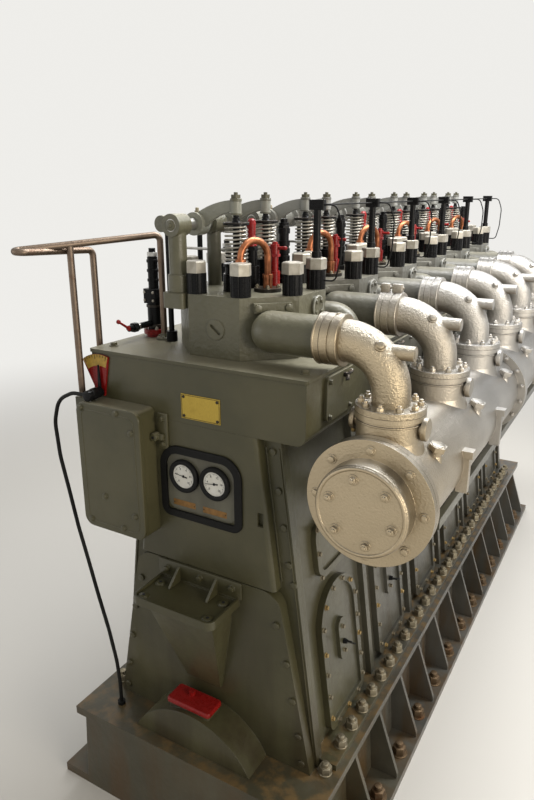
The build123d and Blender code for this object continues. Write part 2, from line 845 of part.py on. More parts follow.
with BuildPart() as injectors:
    with BuildSketch(Plane.XY.offset(head_high)):
        with Locations(*[(0, y) for y in rows]):
            Circle(injector_r)
    extrude(amount=90)
    with BuildSketch(Plane.XY.offset(head_high + 90)):
        with Locations(*[(0, y) for y in rows]):
            Circle(injector_r - 11)
    extrude(amount=injector_top - head_high - 90)
injectors.part.label = "injectors"
export_step(injectors.part, "parts/injectors.step")

with BuildPart() as injector_caps:
    for y in rows:
        with BuildSketch(along(0)):
            Polygon(
                (y, injector_top),
                (y + 21, injector_top),
                (y + 21, injector_top + 34),
                (y + 16.5, injector_top + 43),
                (y + 19, injector_top + 90),
                (y + 16, injector_top + 103),
                (y + 9, injector_top + 110),
                (y, injector_top + 112),
                align=None,
            )
        revolve(axis=Axis((0, y, 0), (0, 0, 1)))
injector_caps.part.label = "injector_caps"
export_step(injector_caps.part, "parts/injector_caps.step")

relief_x = 88.0
relief_y = 40.0
relief_top = 2608.0

with BuildPart() as relief_valves:
    for y in rows:
        with BuildSketch(Plane.XY.offset(head_high)):
            with Locations((relief_x, y + relief_y)):
                Circle(22)
        extrude(amount=70)
        with BuildSketch(Plane.XY.offset(head_high + 70)):
            with Locations((relief_x, y + relief_y)):
                Circle(15)
        extrude(amount=70)
        with BuildSketch(Plane.XY.offset(head_high + 140)):
            with Locations((relief_x, y + relief_y)):
                Circle(19)
        extrude(amount=relief_top - head_high - 140)
        with BuildSketch(along(relief_x + 50)):
            with Locations((y + relief_y, relief_top - 14)):
                Circle(6.5)
        extrude(amount=-84)
relief_valves.part.label = "relief_valves"
export_step(relief_valves.part, "parts/relief_valves.step")

air_x = 40.0
air_y = 205.0
air_height = 258.0

with BuildPart() as air_start_valves:
    for y in rows:
        with BuildSketch(Plane.XY.offset(head_high)):
            with Locations((air_x, y + air_y)):
                Circle(22)
        extrude(amount=air_height)
        for ring_z in (0, 96, 128, 160, 212):
            with BuildSketch(Plane.XY.offset(head_high + ring_z)):
                with Locations((air_x, y + air_y)):
                    Circle(27)
            extrude(amount=22)
        with BuildSketch(Plane.XY.offset(head_high + air_height)):
            with Locations((air_x, y + air_y)):
                RegularPolygon(15, 6, major_radius=False)
        extrude(amount=16)
air_start_valves.part.label = "air_start_valves"
export_step(air_start_valves.part, "parts/air_start_valves.step")

# Copper cooling water bends between flange and nipple
bend_pipe_r = 14.0
bend_foot = (113.0, -61.0)
bend_nipple = (66.0, -190.0)
nipple_top = 2557.0
bend_flange_r = 56.0
bend_flange_top = head_high + 14

with BuildPart() as cooling_bends:
    for y in rows:
        dx = bend_nipple[0] - bend_foot[0]
        dy = bend_nipple[1] - bend_foot[1]
        span = math.hypot(dx, dy)
        crown_z = nipple_top + 8 + span / 2
        start = (bend_foot[0], y + bend_foot[1], bend_flange_top)
        rise = (bend_foot[0], y + bend_foot[1], nipple_top + 8)
        crown = (bend_foot[0] + dx / 2, y + bend_foot[1] + dy / 2, crown_z)
        fall = (bend_nipple[0], y + bend_nipple[1], nipple_top + 8)
        end = (bend_nipple[0], y + bend_nipple[1], nipple_top)
        with BuildLine() as bend_route:
            Line(start, rise)
            ThreePointArc(rise, crown, fall)
            Line(fall, end)
        with BuildSketch(Plane.XY.offset(bend_flange_top)):
            with Locations((start[0], start[1])):
                Circle(bend_pipe_r)
        sweep(path=bend_route.line)
        with Locations((start[0], start[1], bend_flange_top + 24)):
            Cylinder(19, 48)
cooling_bends.part.label = "cooling_bends"
export_step(cooling_bends.part, "parts/cooling_bends.step")

with BuildPart() as bend_flanges:
    with BuildSketch(Plane.XY.offset(head_high)):
        with Locations(*[(bend_foot[0], y + bend_foot[1]) for y in rows]):
            Circle(bend_flange_r)
    extrude(amount=bend_flange_top - head_high)
    with BuildSketch(Plane.XY.offset(head_high)):
        with Locations(*[(bend_nipple[0], y + bend_nipple[1]) for y in rows]):
            Circle(20)
    extrude(amount=nipple_top - head_high)
bend_flanges.part.label = "bend_flanges"
export_step(bend_flanges.part, "parts/bend_flanges.step")

# Thermometer posts on the right-hand nuts and their leads
post_x = stud_circle_r * math.cos(math.radians(stud_angle))
post_y = stud_circle_r * math.sin(math.radians(stud_angle))
post_r = 15.5
post_top = 2745.0
post_head_top = 2785.0
lead_z = (post_top + post_head_top) / 2
lead_r = 3.5

with BuildPart() as thermometer_posts:
    with BuildSketch(Plane.XY.offset(nut_top)):
        with Locations(*[(post_x, y + post_y) for y in rows]):
            Circle(post_r)
    extrude(amount=post_top - nut_top)
    with BuildSketch(Plane.XY.offset(nut_top)):
        with Locations(*[(post_x, y + post_y) for y in rows]):
            Circle(post_r + 5)
    extrude(amount=24)
    with BuildSketch(Plane.XY.offset(post_top)):
        with Locations(*[(post_x, y + post_y) for y in rows]):
            RectangleRounded(66, 30, 6)
    extrude(amount=post_head_top - post_top)
thermometer_posts.part.label = "thermometer_posts"
export_step(thermometer_posts.part, "parts/thermometer_posts.step")

lead_points = [
    (post_x + 33, lead_z),
    (post_x + 82, lead_z),
    (post_x + 112, 2690),
    (post_x + 108, 2560),
    (post_x + 88, 2466),
    (post_x + sleeve_r + gap, 2466),
]

with BuildPart() as sensor_leads:
    for y in rows:
        with BuildLine() as loop:
            FilletPolyline(*[(x, y + post_y, z) for x, z in lead_points], radius=[32, 120, 150, 26])
        with BuildSketch(Plane(origin=loop.line @ 0, z_dir=loop.line % 0)):
            Circle(lead_r)
        sweep(path=loop.line)
    for y in rows[:-1]:
        with BuildSketch(across(y + pitch + post_y - 15)):
            with Locations((post_x, lead_z)):
                Circle(lead_r)
        extrude(amount=pitch - 30)
sensor_leads.part.label = "sensor_leads"
export_step(sensor_leads.part, "parts/sensor_leads.step")

# Intake elbows from the heads down to the air trunk in the block
intake_bend = 68.0
intake_x = intake_start + intake_bend

with BuildPart() as intake_elbows:
    for y in rows:
        turn = (intake_x, y + intake_y, port_z - intake_bend)
        mid = (
            intake_start + intake_bend * math.sin(math.radians(45)),
            y + intake_y,
            port_z - intake_bend * (1 - math.cos(math.radians(45))),
        )
        with BuildLine() as intake_path:
            ThreePointArc((intake_start, y + intake_y, port_z), mid, turn)
            Line(turn, (intake_x, y + intake_y, deck_z))
        with BuildSketch(along(intake_start)):
            with Locations((y + intake_y, port_z)):
                Circle(intake_r)
        sweep(path=intake_path.line)
        with BuildSketch(Plane.XY.offset(deck_z)):
            with Locations((intake_x, y + intake_y)):
                Circle(78)
        extrude(amount=16)
intake_elbows.part.label = "intake_elbows"
export_step(intake_elbows.part, "parts/intake_elbows.step")

# Exhaust: joint rings, bends and the manifold at the right
ring_end = 545.0
ring_band = 58.0
ring_collar = 28.0
ring_r = 94.0
elbow_r = 77.0
elbow_end_r = 69.0
manifold_x = 724.0
manifold_z = 1781.0
elbow_bend = 178.0
elbow_foot = 2098.0
branch_top = 2078.0
branch_r = 119.0
branch_flange_r = 127.0
body_r = 200.0
flange_r = 236.0
flange_depth = 30.0
manifold_half = 1898.0

with BuildPart() as exhaust_joints:
    for y in rows:
        with BuildSketch(along(stub_end)):
            with Locations((y + stub_y, port_z)):
                Circle(ring_r - 7)
        extrude(amount=ring_end - stub_end)
        for band_x, band in ((stub_end, ring_band), (ring_end - ring_collar, ring_collar)):
            with BuildSketch(along(band_x)):
                with Locations((y + stub_y, port_z)):
                    Circle(ring_r)
            extrude(amount=band)
exhaust_joints.part.label = "exhaust_joints"
export_step(exhaust_joints.part, "parts/exhaust_joints.step")

with BuildPart() as exhaust_elbows:
    for y in rows:
        bend_x = manifold_x - elbow_bend
        top_z = port_z - elbow_bend
        line_y = y + stub_y
        middle = (
            bend_x + elbow_bend * math.sin(math.radians(45)),
            line_y,
            top_z + elbow_bend * math.cos(math.radians(45)),
        )
        with BuildLine() as elbow_route:
            ThreePointArc((bend_x, line_y, port_z), middle, (manifold_x, line_y, top_z))
        with BuildSketch(along(bend_x)):
            with Locations((line_y, port_z)):
                Circle(elbow_r)
        with BuildSketch(Plane.XY.offset(top_z)):
            with Locations((manifold_x, line_y)):
                Circle(elbow_end_r)
        sweep(path=elbow_route.line, multisection=True)
        with BuildSketch(along(ring_end)):
            with Locations((line_y, port_z)):
                Circle(elbow_r)
        extrude(amount=bend_x - ring_end)
        with BuildSketch(Plane.XY.offset(branch_top)):
            with Locations((manifold_x, line_y)):
                Circle(elbow_end_r)
        extrude(amount=top_z - branch_top)
        with BuildSketch(Plane.XY.offset(branch_top)):
            with Locations((manifold_x, line_y)):
                Circle(branch_flange_r)
        extrude(amount=elbow_foot - branch_top)
        # thermometer stub
        with BuildSketch(along(802)):
            with Locations((line_y, port_z - 21)):
                Circle(26.5)
        extrude(amount=-100)
exhaust_elbows.part.label = "exhaust_elbows"
export_step(exhaust_elbows.part, "parts/exhaust_elbows.step")

manifold_joint = rows[2] + 54.0
manifold_cuts = [-manifold_half, manifold_joint, manifold_half]
manifold_names = ["front", "rear"]

for index, manifold_name in enumerate(manifold_names):
    y0 = manifold_cuts[index]
    y1 = manifold_cuts[index + 1]
    with BuildPart() as manifold:
        with BuildSketch(along(manifold_x)):
            Polygon(
                (y0, manifold_z),
                (y0, manifold_z + flange_r),
                (y0 + flange_depth, manifold_z + flange_r),
                (y0 + flange_depth, manifold_z + body_r),
                (y1 - flange_depth, manifold_z + body_r),
                (y1 - flange_depth, manifold_z + flange_r),
                (y1, manifold_z + flange_r),
                (y1, manifold_z),
                align=None,
            )
        revolve(axis=Axis((manifold_x, 0, manifold_z), (0, 1, 0)))
        for y in rows:
            line_y = y + stub_y
            if y0 < line_y < y1:
                with BuildSketch(Plane.XY.offset(manifold_z)):
                    with Locations((manifold_x, line_y)):
                        Circle(branch_r)
                extrude(amount=branch_top - manifold_z)
                with Locations((manifold_x, line_y, manifold_z + 160)):
                    Cone(branch_r + 18, branch_r, 80)
                with BuildSketch(Plane.XY.offset(branch_top - 20)):
                    with Locations((manifold_x, line_y)):
                        Circle(branch_flange_r)
                extrude(amount=20)
                # inspection bosses to both sides
                with BuildSketch(along(manifold_x - branch_r - 20)):
                    with Locations((line_y, branch_top - 52)):
                        Circle(29)
                extrude(amount=2 * (branch_r + 20))
                # hexagon plug on the shoulder, its axis nearly upright
                shoulder = Plane(
                    origin=(manifold_x + 142, line_y + 88, manifold_z + 99),
                    x_dir=(0, 1, 0),
                    z_dir=(0.25, 0, 1),
                )
                with BuildSketch(shoulder):
                    Circle(24)
                extrude(amount=52)
                with BuildSketch(shoulder.offset(46)):
                    RegularPolygon(30, 6, major_radius=False)
                extrude(amount=20)
                # clamp lug on the outer side
                if line_y + 400 < y1:
                    with Locations((manifold_x + body_r - 2, line_y + 346, manifold_z - 30)):
                        Box(46, 32, 170)
                    with Locations((manifold_x + body_r + 4, line_y + 346, manifold_z + 50)):
                        Box(58, 48, 30)
        if manifold_name == "rear":
            # gas outlet at the aft end
            with BuildSketch(across(y1)):
                with Locations((manifold_x, manifold_z)):
                    Circle(160)
            extrude(amount=260, mode=Mode.SUBTRACT)
            with BuildSketch(across(y1)):
                with Locations((manifold_x, manifold_z)):
                    with PolarLocations(215, 12):
                        Circle(9)
            extrude(amount=flange_depth, mode=Mode.SUBTRACT)
    manifold.part.label = "manifold_" + manifold_name
    export_step(manifold.part, "parts/manifold_" + manifold_name + ".step")

with BuildPart() as manifold_end_cover:
    with BuildSketch(across(-manifold_half)):
        with Locations((manifold_x, manifold_z)):
            Circle(flange_r)
    extrude(amount=24)
    with BuildSketch(across(-manifold_half - 24)):
        with Locations((manifold_x, manifold_z)):
            Circle(170)
    extrude(amount=76)
    rim = manifold_end_cover.faces().sort_by(Axis.Y)[0].edges()
    fillet(rim, 12)
manifold_end_cover.part.label = "manifold_end_cover"
export_step(manifold_end_cover.part, "parts/manifold_end_cover.step")

# Rail and brackets that carry the manifold
rail_in = 835.0
rail_out = 862.0
rail_low = 1505.0
rail_high = 1550.0
rail_half = 1467.0
arm_top = 1534.0

with BuildPart() as manifold_rail:
    with BuildSketch(across(rail_half)):
        Polygon(
            (rail_in, rail_low),
            (rail_out, rail_low),
            (rail_out, rail_high),
            (rail_in, rail_high),
            align=None,
        )
    extrude(amount=2 * rail_half)
manifold_rail.part.label = "manifold_rail"
export_step(manifold_rail.part, "parts/manifold_rail.step")

arm_low = 1380.0
arm_thickness = 28.0

with BuildPart() as manifold_brackets:
    for arm_y in joints_between:
        with BuildSketch(across(arm_y + arm_thickness / 2)):
            Polygon(
                (half_width(arm_low), arm_low),
                (half_width(arm_low) + 30, arm_low),
                (rail_in, arm_top - 44),
                (rail_in, arm_top),
                (half_width(arm_top), arm_top),
                align=None,
            )
            # saddle under the manifold
            with Locations((manifold_x, (arm_top + manifold_z - body_r) / 2 + 20)):
                Rectangle(120, manifold_z - body_r - arm_top + 44)
            with Locations((manifold_x, manifold_z)):
                Circle(body_r, mode=Mode.SUBTRACT)
        extrude(amount=arm_thickness)
manifold_brackets.part.label = "manifold_brackets"
export_step(manifold_brackets.part, "parts/manifold_brackets.step")

# Fuel pumps on the camshaft shelf and their delivery pipes
pump_x = -480.0
pump_y = -62.0
pump_flange_low = deck_z + 14
pump_base_top = deck_z + 34
pump_block_low = 2336.0
pump_block_top = 2400.0
cock_z = 2246.0
cock_reach = 180.0

with BuildPart() as fuel_pump_bases:
    with BuildSketch(Plane.XY.offset(deck_z)):
        with Locations(*[(pump_x, y + pump_y) for y in rows]):
            Circle(42)
    extrude(amount=pump_flange_low - deck_z)
    with BuildSketch(Plane.XY.offset(pump_flange_low)):
        with Locations(*[(pump_x, y + pump_y) for y in rows]):
            Circle(54)
    extrude(amount=pump_base_top - pump_flange_low)
fuel_pump_bases.part.label = "fuel_pump_bases"
export_step(fuel_pump_bases.part, "parts/fuel_pump_bases.step")

with BuildPart() as fuel_pumps:
    for y in rows:
        for radius, low, high in (
            (33, pump_base_top, pump_block_low),
            (23, pump_block_top, 2540),
            (19, 2540, 2560),
            (15, 2560, 2577),
        ):
            with BuildSketch(Plane.XY.offset(low)):
                with Locations((pump_x, y + pump_y)):
                    Circle(radius)
            extrude(amount=high - low)
        with BuildSketch(Plane.XY.offset(pump_block_low)):
            with Locations((pump_x, y + pump_y)):
                RectangleRounded(72, 72, 9)
        extrude(amount=pump_block_top - pump_block_low)
        # shut-off cock that reaches out towards the gauge end
        with BuildSketch(across(y + pump_y - cock_reach)):
            with Locations((pump_x, cock_z)):
                Circle(14)
        extrude(amount=-cock_reach)
        with BuildSketch(across(y + pump_y - cock_reach + 24)):
            with Locations((pump_x, cock_z)):
                RegularPolygon(19, 6, major_radius=False)
        extrude(amount=-26)
fuel_pumps.part.label = "fuel_pumps"
export_step(fuel_pumps.part, "parts/fuel_pumps.step")

pipe_r = 6.0
pipe_low = 2368.0
pipe_high = 2574.0

with BuildPart() as fuel_pipes:
    for y in rows:
        with BuildLine() as pipe_route:
            FilletPolyline(
                (pump_x + 36, y + pump_y, pipe_low),
                (pump_x + 78, y + pump_y, pipe_low),
                (pump_x + 78, y + 58, pipe_high),
                (-90, y + 58, pipe_high),
                (-20.43, y + 13.16, pipe_high),
                radius=16,
            )
        with BuildSketch(along(pump_x + 36)):
            with Locations((y + pump_y, pipe_low)):
                Circle(pipe_r)
        sweep(path=pipe_route.line)
fuel_pipes.part.label = "fuel_pipes"
export_step(fuel_pipes.part, "parts/fuel_pipes.step")

# Guard rail over the left shelf
rail_r = 14.0

with BuildPart() as guard_rail:
    with BuildLine() as guard_route:
        FilletPolyline(
            (-400, -1600, deck_z),
            (-400, -1600, 2640),
            (-590, -1937, 2612),
            (-700, -2132, 2596),
            (-640, -2150, 2594),
            (-612, -1790, 2580),
            (-612, -1790, 2080),
            radius=26,
        )
    with BuildSketch(Plane.XY.offset(deck_z)):
        with Locations((-400, -1600)):
            Circle(rail_r)
    sweep(path=guard_route.line)
    with BuildSketch(Plane.XY.offset(box_high)):
        with Locations((rail_post_x, rail_post_y)):
            Circle(rail_r)
    extrude(amount=2606 - box_high)
    # bracket on the block
    with Locations(((block_left - 612) / 2, -1790, 2110)):
        Box(612 + block_left, 22, 30)
guard_rail.part.label = "guard_rail"
export_step(guard_rail.part, "parts/guard_rail.step")
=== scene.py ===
import bmesh
import bpy
import json
import math
from mathutils import Matrix, Vector


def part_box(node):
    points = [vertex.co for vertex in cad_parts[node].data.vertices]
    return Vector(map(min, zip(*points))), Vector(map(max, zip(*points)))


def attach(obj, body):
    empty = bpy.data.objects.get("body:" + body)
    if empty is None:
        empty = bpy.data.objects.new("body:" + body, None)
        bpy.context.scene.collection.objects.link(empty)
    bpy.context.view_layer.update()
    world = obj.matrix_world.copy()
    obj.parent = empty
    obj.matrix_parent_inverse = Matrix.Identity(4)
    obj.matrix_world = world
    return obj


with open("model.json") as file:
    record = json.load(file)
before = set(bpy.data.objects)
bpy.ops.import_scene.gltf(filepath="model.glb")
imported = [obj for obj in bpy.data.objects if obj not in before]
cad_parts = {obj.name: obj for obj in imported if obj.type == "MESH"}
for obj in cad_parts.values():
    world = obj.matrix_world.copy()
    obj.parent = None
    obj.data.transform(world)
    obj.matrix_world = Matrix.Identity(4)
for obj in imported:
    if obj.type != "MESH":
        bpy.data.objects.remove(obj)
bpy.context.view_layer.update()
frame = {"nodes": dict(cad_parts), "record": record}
print("frame loaded")

rowPitch = 0.6
rows = [rowPitch * (i - 2.5) for i in range(6)]
ports = [row - 0.246 for row in rows]  # the exhaust pipes stand ahead of their cylinders
portZ = 2.308
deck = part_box("cylinder_block")[1].z
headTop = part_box("cylinder_heads")[1].z
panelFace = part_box("front_cover")[0].y
manifoldX = 0.724
manifoldZ = 1.781
bothWays = (-1, 1)
south, north, east, up = (0, -1, 0), (0, 1, 0), (1, 0, 0), (0, 0, 1)


# shader maths: a wire is a socket that takes part in sums
class Wire:
    def __init__(self, nodes, socket):
        self.nodes = nodes
        self.socket = socket

    def math(self, operation, *values):
        return self.nodes.make("ShaderNodeMath", {"operation": operation}, values)

    def __add__(self, other):
        return self.math("ADD", self, other)

    def __sub__(self, other):
        return self.math("SUBTRACT", self, other)

    def __rsub__(self, other):
        return self.math("SUBTRACT", other, self)

    def __mul__(self, other):
        return self.math("MULTIPLY", self, other)

    __radd__ = __add__
    __rmul__ = __mul__


class Nodes:
    def __init__(self, tree):
        self.tree = tree

    def feed(self, socket, value):
        if isinstance(value, Wire):
            self.tree.links.new(value.socket, socket)
        else:
            socket.default_value = value

    # any node: its type, its settings, then what its sockets get
    def make(self, kind, settings=None, values=(), output=0):
        node = self.tree.nodes.new(kind)
        for key, value in (settings or {}).items():
            setattr(node, key, value)
        pairs = values.items() if isinstance(values, dict) else enumerate(values)
        for key, value in pairs:
            self.feed(node.inputs[key], value)
        return Wire(self, node.outputs[output])

    # 1 for what the camera sees, also in a mirror or through glass, and 0 for the light on the engine
    def seenDirectly(self):
        camera, glossy, through = [self.make("ShaderNodeLightPath", output=name) for name in
                                   ("Is Camera Ray", "Is Glossy Ray", "Is Transmission Ray")]
        return camera.math("MAXIMUM", camera, camera.math("MAXIMUM", glossy, through))


class Finish(Nodes):
    def __init__(self, name):
        self.material = bpy.data.materials.new(name)
        self.material.use_nodes = True
        super().__init__(self.material.node_tree)
        self.shader = self.tree.nodes["Principled BSDF"]
        self.place = self.make("ShaderNodeTexCoord", output="Object")

    def noise(self, scale, detail=4.0, roughness=0.55, stretch=None):
        place = self.place
        if stretch:
            place = self.make("ShaderNodeMapping", {}, {"Vector": place, "Scale": stretch})
        return self.make("ShaderNodeTexNoise", {}, {
            "Vector": place, "Scale": scale, "Detail": detail, "Roughness": roughness})

    def ramp(self, value, low, high):
        return self.make("ShaderNodeMapRange", {"interpolation_type": "SMOOTHSTEP"}, {
            "Value": value, "From Min": low, "From Max": high})

    def mix(self, mask, *shades):
        first, second = [shade if isinstance(shade, Wire) else (*shade, 1) for shade in shades]
        return self.make("ShaderNodeMix", {"data_type": "RGBA"}, {0: mask, 6: first, 7: second}, 2)

    def axis(self, which):
        return self.make("ShaderNodeSeparateXYZ", {}, [self.place], output=which)

    def facing(self, which):
        normal = self.make("ShaderNodeNewGeometry", output="Normal")
        return self.make("ShaderNodeSeparateXYZ", {}, [normal], output=which)

    # the paint is yellower at the gauge end and greyer further back
    def yellowed(self, body, look):
        greyer = 1 - self.ramp(self.axis("Y"), look["yellowTo"], look["greyFrom"]) * look["greyer"]
        return self.make("ShaderNodeHueSaturation", {}, [0.5, greyer, 1.0, 1.0, body])

    def set(self, **sockets):
        for key, value in sockets.items():
            name = {"baseColor": "Base Color", "roughness": "Roughness", "metallic": "Metallic",
                    "coat": "Coat Weight", "coatRoughness": "Coat Roughness",
                    "specular": "Specular IOR Level"}[key]
            if name == "Base Color" and not isinstance(value, Wire):
                value = (*value, 1)
            self.feed(self.shader.inputs[name], value)

    # bump, over edges that look rounded by the given radius
    def relief(self, height, distance, strength, edge=0.0):
        values = {"Height": height, "Distance": distance, "Strength": strength}
        if edge:
            values["Normal"] = self.make("ShaderNodeBevel", {"samples": 4}, {"Radius": edge})
        self.feed(self.shader.inputs["Normal"], self.make("ShaderNodeBump", {}, values))


def enamel(name, look):
    f = Finish(name)
    broad = f.noise(look["broad"], 5)
    fine = f.noise(look["fine"])
    height = f.axis("Z")
    level = f.facing("Z")
    body = f.yellowed(f.mix(f.ramp(broad, 0.35, 0.68), look["deep"], look["pale"]), look)
    # pale dirt settled on the upward faces of the upper casing; its pale colour also paints in the light that
    # falls on the deck top
    dusty = f.ramp(level, 0.55, 0.98) * f.ramp(fine, -0.3, 0.95) * f.ramp(height, *look["dustAndTopLightHeight"])
    dusty = dusty * look["dustAndTopLight"]
    body = f.mix(dusty, body, look["dustAndTopLightColor"])
    # oil runs that grow darker towards the bottom; they also paint in the shade on the lower casing
    runs = f.ramp(f.noise(look["runs"], 4, 0.6, look["runStretch"]), 0.38, 0.72)
    body = f.mix(runs * (1 - f.ramp(height, *look["soilAndShadeHeight"])) * look["soilAndShade"], body, look["oil"])
    # rust that has seeped over the ledge of the bedplate
    ledge = f.ramp(height, 0.42, 0.445) * (1 - f.ramp(height, 0.49, 0.51)) * f.ramp(level, 0.6, 0.95)
    body = f.mix(f.ramp(f.noise(look["seepScale"]), 0.42, 0.66) * ledge * 0.7, body, look["seep"])
    chipped = f.ramp(f.noise(look["speck"], 2), 0.72, 0.78) * f.ramp(broad, 0.5, 0.62) * look["chips"]
    body = f.mix(chipped, body, look["rust"])
    f.set(baseColor=body, roughness=f.ramp(fine, 0.0, 1.0) * 0.22 + dusty * 0.25 + look["roughness"],
          metallic=0.0, coat=0.12, coatRoughness=0.2, specular=0.38)
    lumps = f.noise(look["lump"], 3) * look["lumpHigh"] + f.noise(look["skin"], 2) * 0.12
    f.relief(lumps, 0.004, 0.5, look["edge"])
    return f.material


engineLook = {
    "deep": (0.060, 0.056, 0.026), "pale": (0.090, 0.082, 0.041),
    "yellowTo": -1.9, "greyFrom": -0.8, "greyer": 0.65,
    "dustAndTopLightColor": (0.31, 0.285, 0.205), "dustAndTopLight": 0.75, "dustAndTopLightHeight": (1.4, 2.1),
    "oil": (0.036, 0.027, 0.013), "soilAndShade": 0.8, "soilAndShadeHeight": (0.3, 1.75),
    "runs": 7, "runStretch": (1, 1, 0.16), "broad": 2.2, "fine": 38, "speck": 150, "skin": 420,
    "seep": (0.17, 0.105, 0.04), "seepScale": 13, "rust": (0.19, 0.085, 0.03), "chips": 0.6,
    "roughness": 0.25, "lump": 30, "lumpHigh": 0.45, "edge": 0.004,
}
headLook = dict(engineLook, deep=(0.095, 0.090, 0.052), pale=(0.145, 0.138, 0.088), dustAndTopLight=0.45, soilAndShade=0.45,
                soilAndShadeHeight=(2.0, 2.6), lump=48, lumpHigh=1.3, chips=0.2)
rockerLook = dict(headLook, deep=(0.21, 0.212, 0.165), pale=(0.30, 0.30, 0.245), soilAndShade=0.0)
plateLook = dict(headLook, deep=(0.115, 0.11, 0.078), pale=(0.15, 0.144, 0.105), lumpHigh=0.3)
# the bedplate enamel is darker than the engine enamel and heavily soiled: partly oil, partly painted shade of
# the low bed
bedLook = dict(engineLook, deep=(0.050, 0.046, 0.027), pale=(0.086, 0.077, 0.047), oil=(0.075, 0.042, 0.014),
               soilAndShade=0.95, soilAndShadeHeight=(0.1, 0.75), dustAndTopLight=0.3, dustAndTopLightColor=(0.22, 0.15, 0.07), chips=1.0,
               lump=22, lumpHigh=0.8)


# the base colour is painted by the way the casting faces, in place of light on its metal: warm painted light
# on faces toward the gauge end, painted shade on the tops against the lamp's highlight, a painted highlight
# on level tops and painted shade underneath
def silverPaint(name, look):
    f = Finish(name)
    broad = f.noise(look["broad"], 5)
    lumps = f.noise(look["lumps"], 3, 0.5)
    pits = f.noise(look["pits"], 3, 0.6)
    level = f.facing("Z")
    body = f.mix(f.ramp(broad, 0.3, 0.7), look["deep"], look["pale"])
    # warm painted light on faces toward the gauge end
    body = f.mix(f.ramp(f.facing("Y") * -1, 0.1, 0.9) * 0.75, body, look["front"])
    body = f.mix(f.ramp(pits, 0.56, 0.8) * 0.35, body, look["stain"])
    # the tops take the crown colour: painted shade that tones down the lamp's highlight there
    body = f.mix(f.ramp(level, 0.1, 0.9) * 0.85, body, look["crown"])
    # painted highlight on level tops, as strong as lit
    body = f.mix(f.ramp(level, 0.90, 1.0) * look["lit"], body, look["level"])
    # on the silver castings the yellower near end is painted warm light
    body = f.yellowed(body, look)
    # painted shade on the undersides, in the stain colour
    body = f.mix(f.ramp(level * -1, 0.0, 0.8) * 0.75, body, look["stain"])
    f.set(baseColor=body, metallic=0.72, roughness=f.ramp(broad, 0.2, 0.9) * 0.12 + 0.29)
    f.relief(lumps + pits * 0.35, 0.005, look["hammer"], 0.003)
    return f.material


# front, crown, level and lit set the painted light and shade by facing; stain colours both the pits and the
# painted shade underneath
castLook = {
    "deep": (0.24, 0.20, 0.138), "pale": (0.37, 0.315, 0.23), "stain": (0.13, 0.093, 0.05),
    "front": (0.60, 0.485, 0.32), "crown": (0.145, 0.132, 0.109), "level": (0.62, 0.59, 0.53), "lit": 0.8,
    "yellowTo": -1.9, "greyFrom": -0.7, "greyer": 0.7,
    "broad": 3.5, "lumps": 105, "pits": 210, "hammer": 0.35,
}
# on the bends the crown is paler and the painted highlight on level tops weaker
bendLook = dict(castLook, crown=(0.34, 0.317, 0.272), lit=0.2, hammer=0.75)


def nutPaint():
    f = Finish("warm silver paint on nuts")
    patch = f.noise(24)
    fine = f.noise(160, 3)
    body = f.mix(f.ramp(patch, 0.3, 0.7), (0.30, 0.275, 0.225), (0.44, 0.41, 0.35))
    body = f.mix(f.ramp(fine, 0.62, 0.82) * 0.4, body, (0.2, 0.16, 0.1))
    f.set(baseColor=body, metallic=0.4, roughness=f.ramp(fine, 0.2, 0.9) * 0.15 + 0.38)
    f.relief(fine, 0.001, 0.4, 0.002)
    return f.material


def gloss(name, color, roughness=0.22, wear=(0.2, 0.19, 0.17), worn=0.2, metallic=0.0, specular=0.3):
    f = Finish(name)
    fine = f.noise(60)
    scuff = f.noise(190, 3, 0.7)
    dusty = f.ramp(f.facing("Z"), 0.7, 1.0) * f.ramp(fine, 0.3, 0.8) * worn
    body = f.mix(f.ramp(fine, 0.3, 0.75), [c * 0.72 for c in color], color)
    body = f.mix(dusty + f.ramp(scuff, 0.68, 0.8) * worn, body, wear)
    f.set(baseColor=body, metallic=metallic, specular=specular,
          roughness=f.ramp(scuff, 0.2, 0.9) * 0.2 + dusty * 0.4 + roughness)
    f.relief(fine * 0.5 + scuff * 0.15, 0.0012, 0.4, 0.0012)
    return f.material


def steel(name, color, roughness=0.3, brushed=(1, 1, 1), stain=(0.16, 0.1, 0.05), stained=0.35):
    f = Finish(name)
    grain = f.noise(130, 4, 0.6, brushed)
    patch = f.noise(16, 5)
    body = f.mix(f.ramp(grain, 0.2, 0.85), [c * 0.72 for c in color], color)
    body = f.mix(f.ramp(patch, 0.52, 0.78) * stained, body, stain)
    f.set(baseColor=body, metallic=0.92,
          roughness=f.ramp(grain, 0.1, 0.9) * 0.22 + f.ramp(patch, 0.5, 0.8) * 0.2 + roughness)
    f.relief(grain, 0.0009, 0.35, 0.0014)
    return f.material


def copperPipe():
    f = Finish("copper pipe")
    patch = f.noise(34, 5)
    body = f.mix(f.ramp(patch, 0.3, 0.72), (0.24, 0.080, 0.034), (0.43, 0.165, 0.075))
    body = f.mix(f.ramp(f.noise(90), 0.6, 0.82) * 0.5, body, (0.15, 0.055, 0.025))
    f.set(baseColor=body, metallic=0.85, roughness=f.ramp(patch, 0.2, 0.8) * 0.22 + 0.24)
    f.relief(patch, 0.0015, 0.4)
    return f.material


def dialWhite():
    f = Finish("dial enamel")
    patch = f.noise(40)
    f.set(baseColor=f.mix(f.ramp(patch, 0.3, 0.8), (0.74, 0.72, 0.64), (0.82, 0.81, 0.76)),
          roughness=f.ramp(patch, 0, 1) * 0.1 + 0.3, coat=0.6, coatRoughness=0.05)
    return f.material


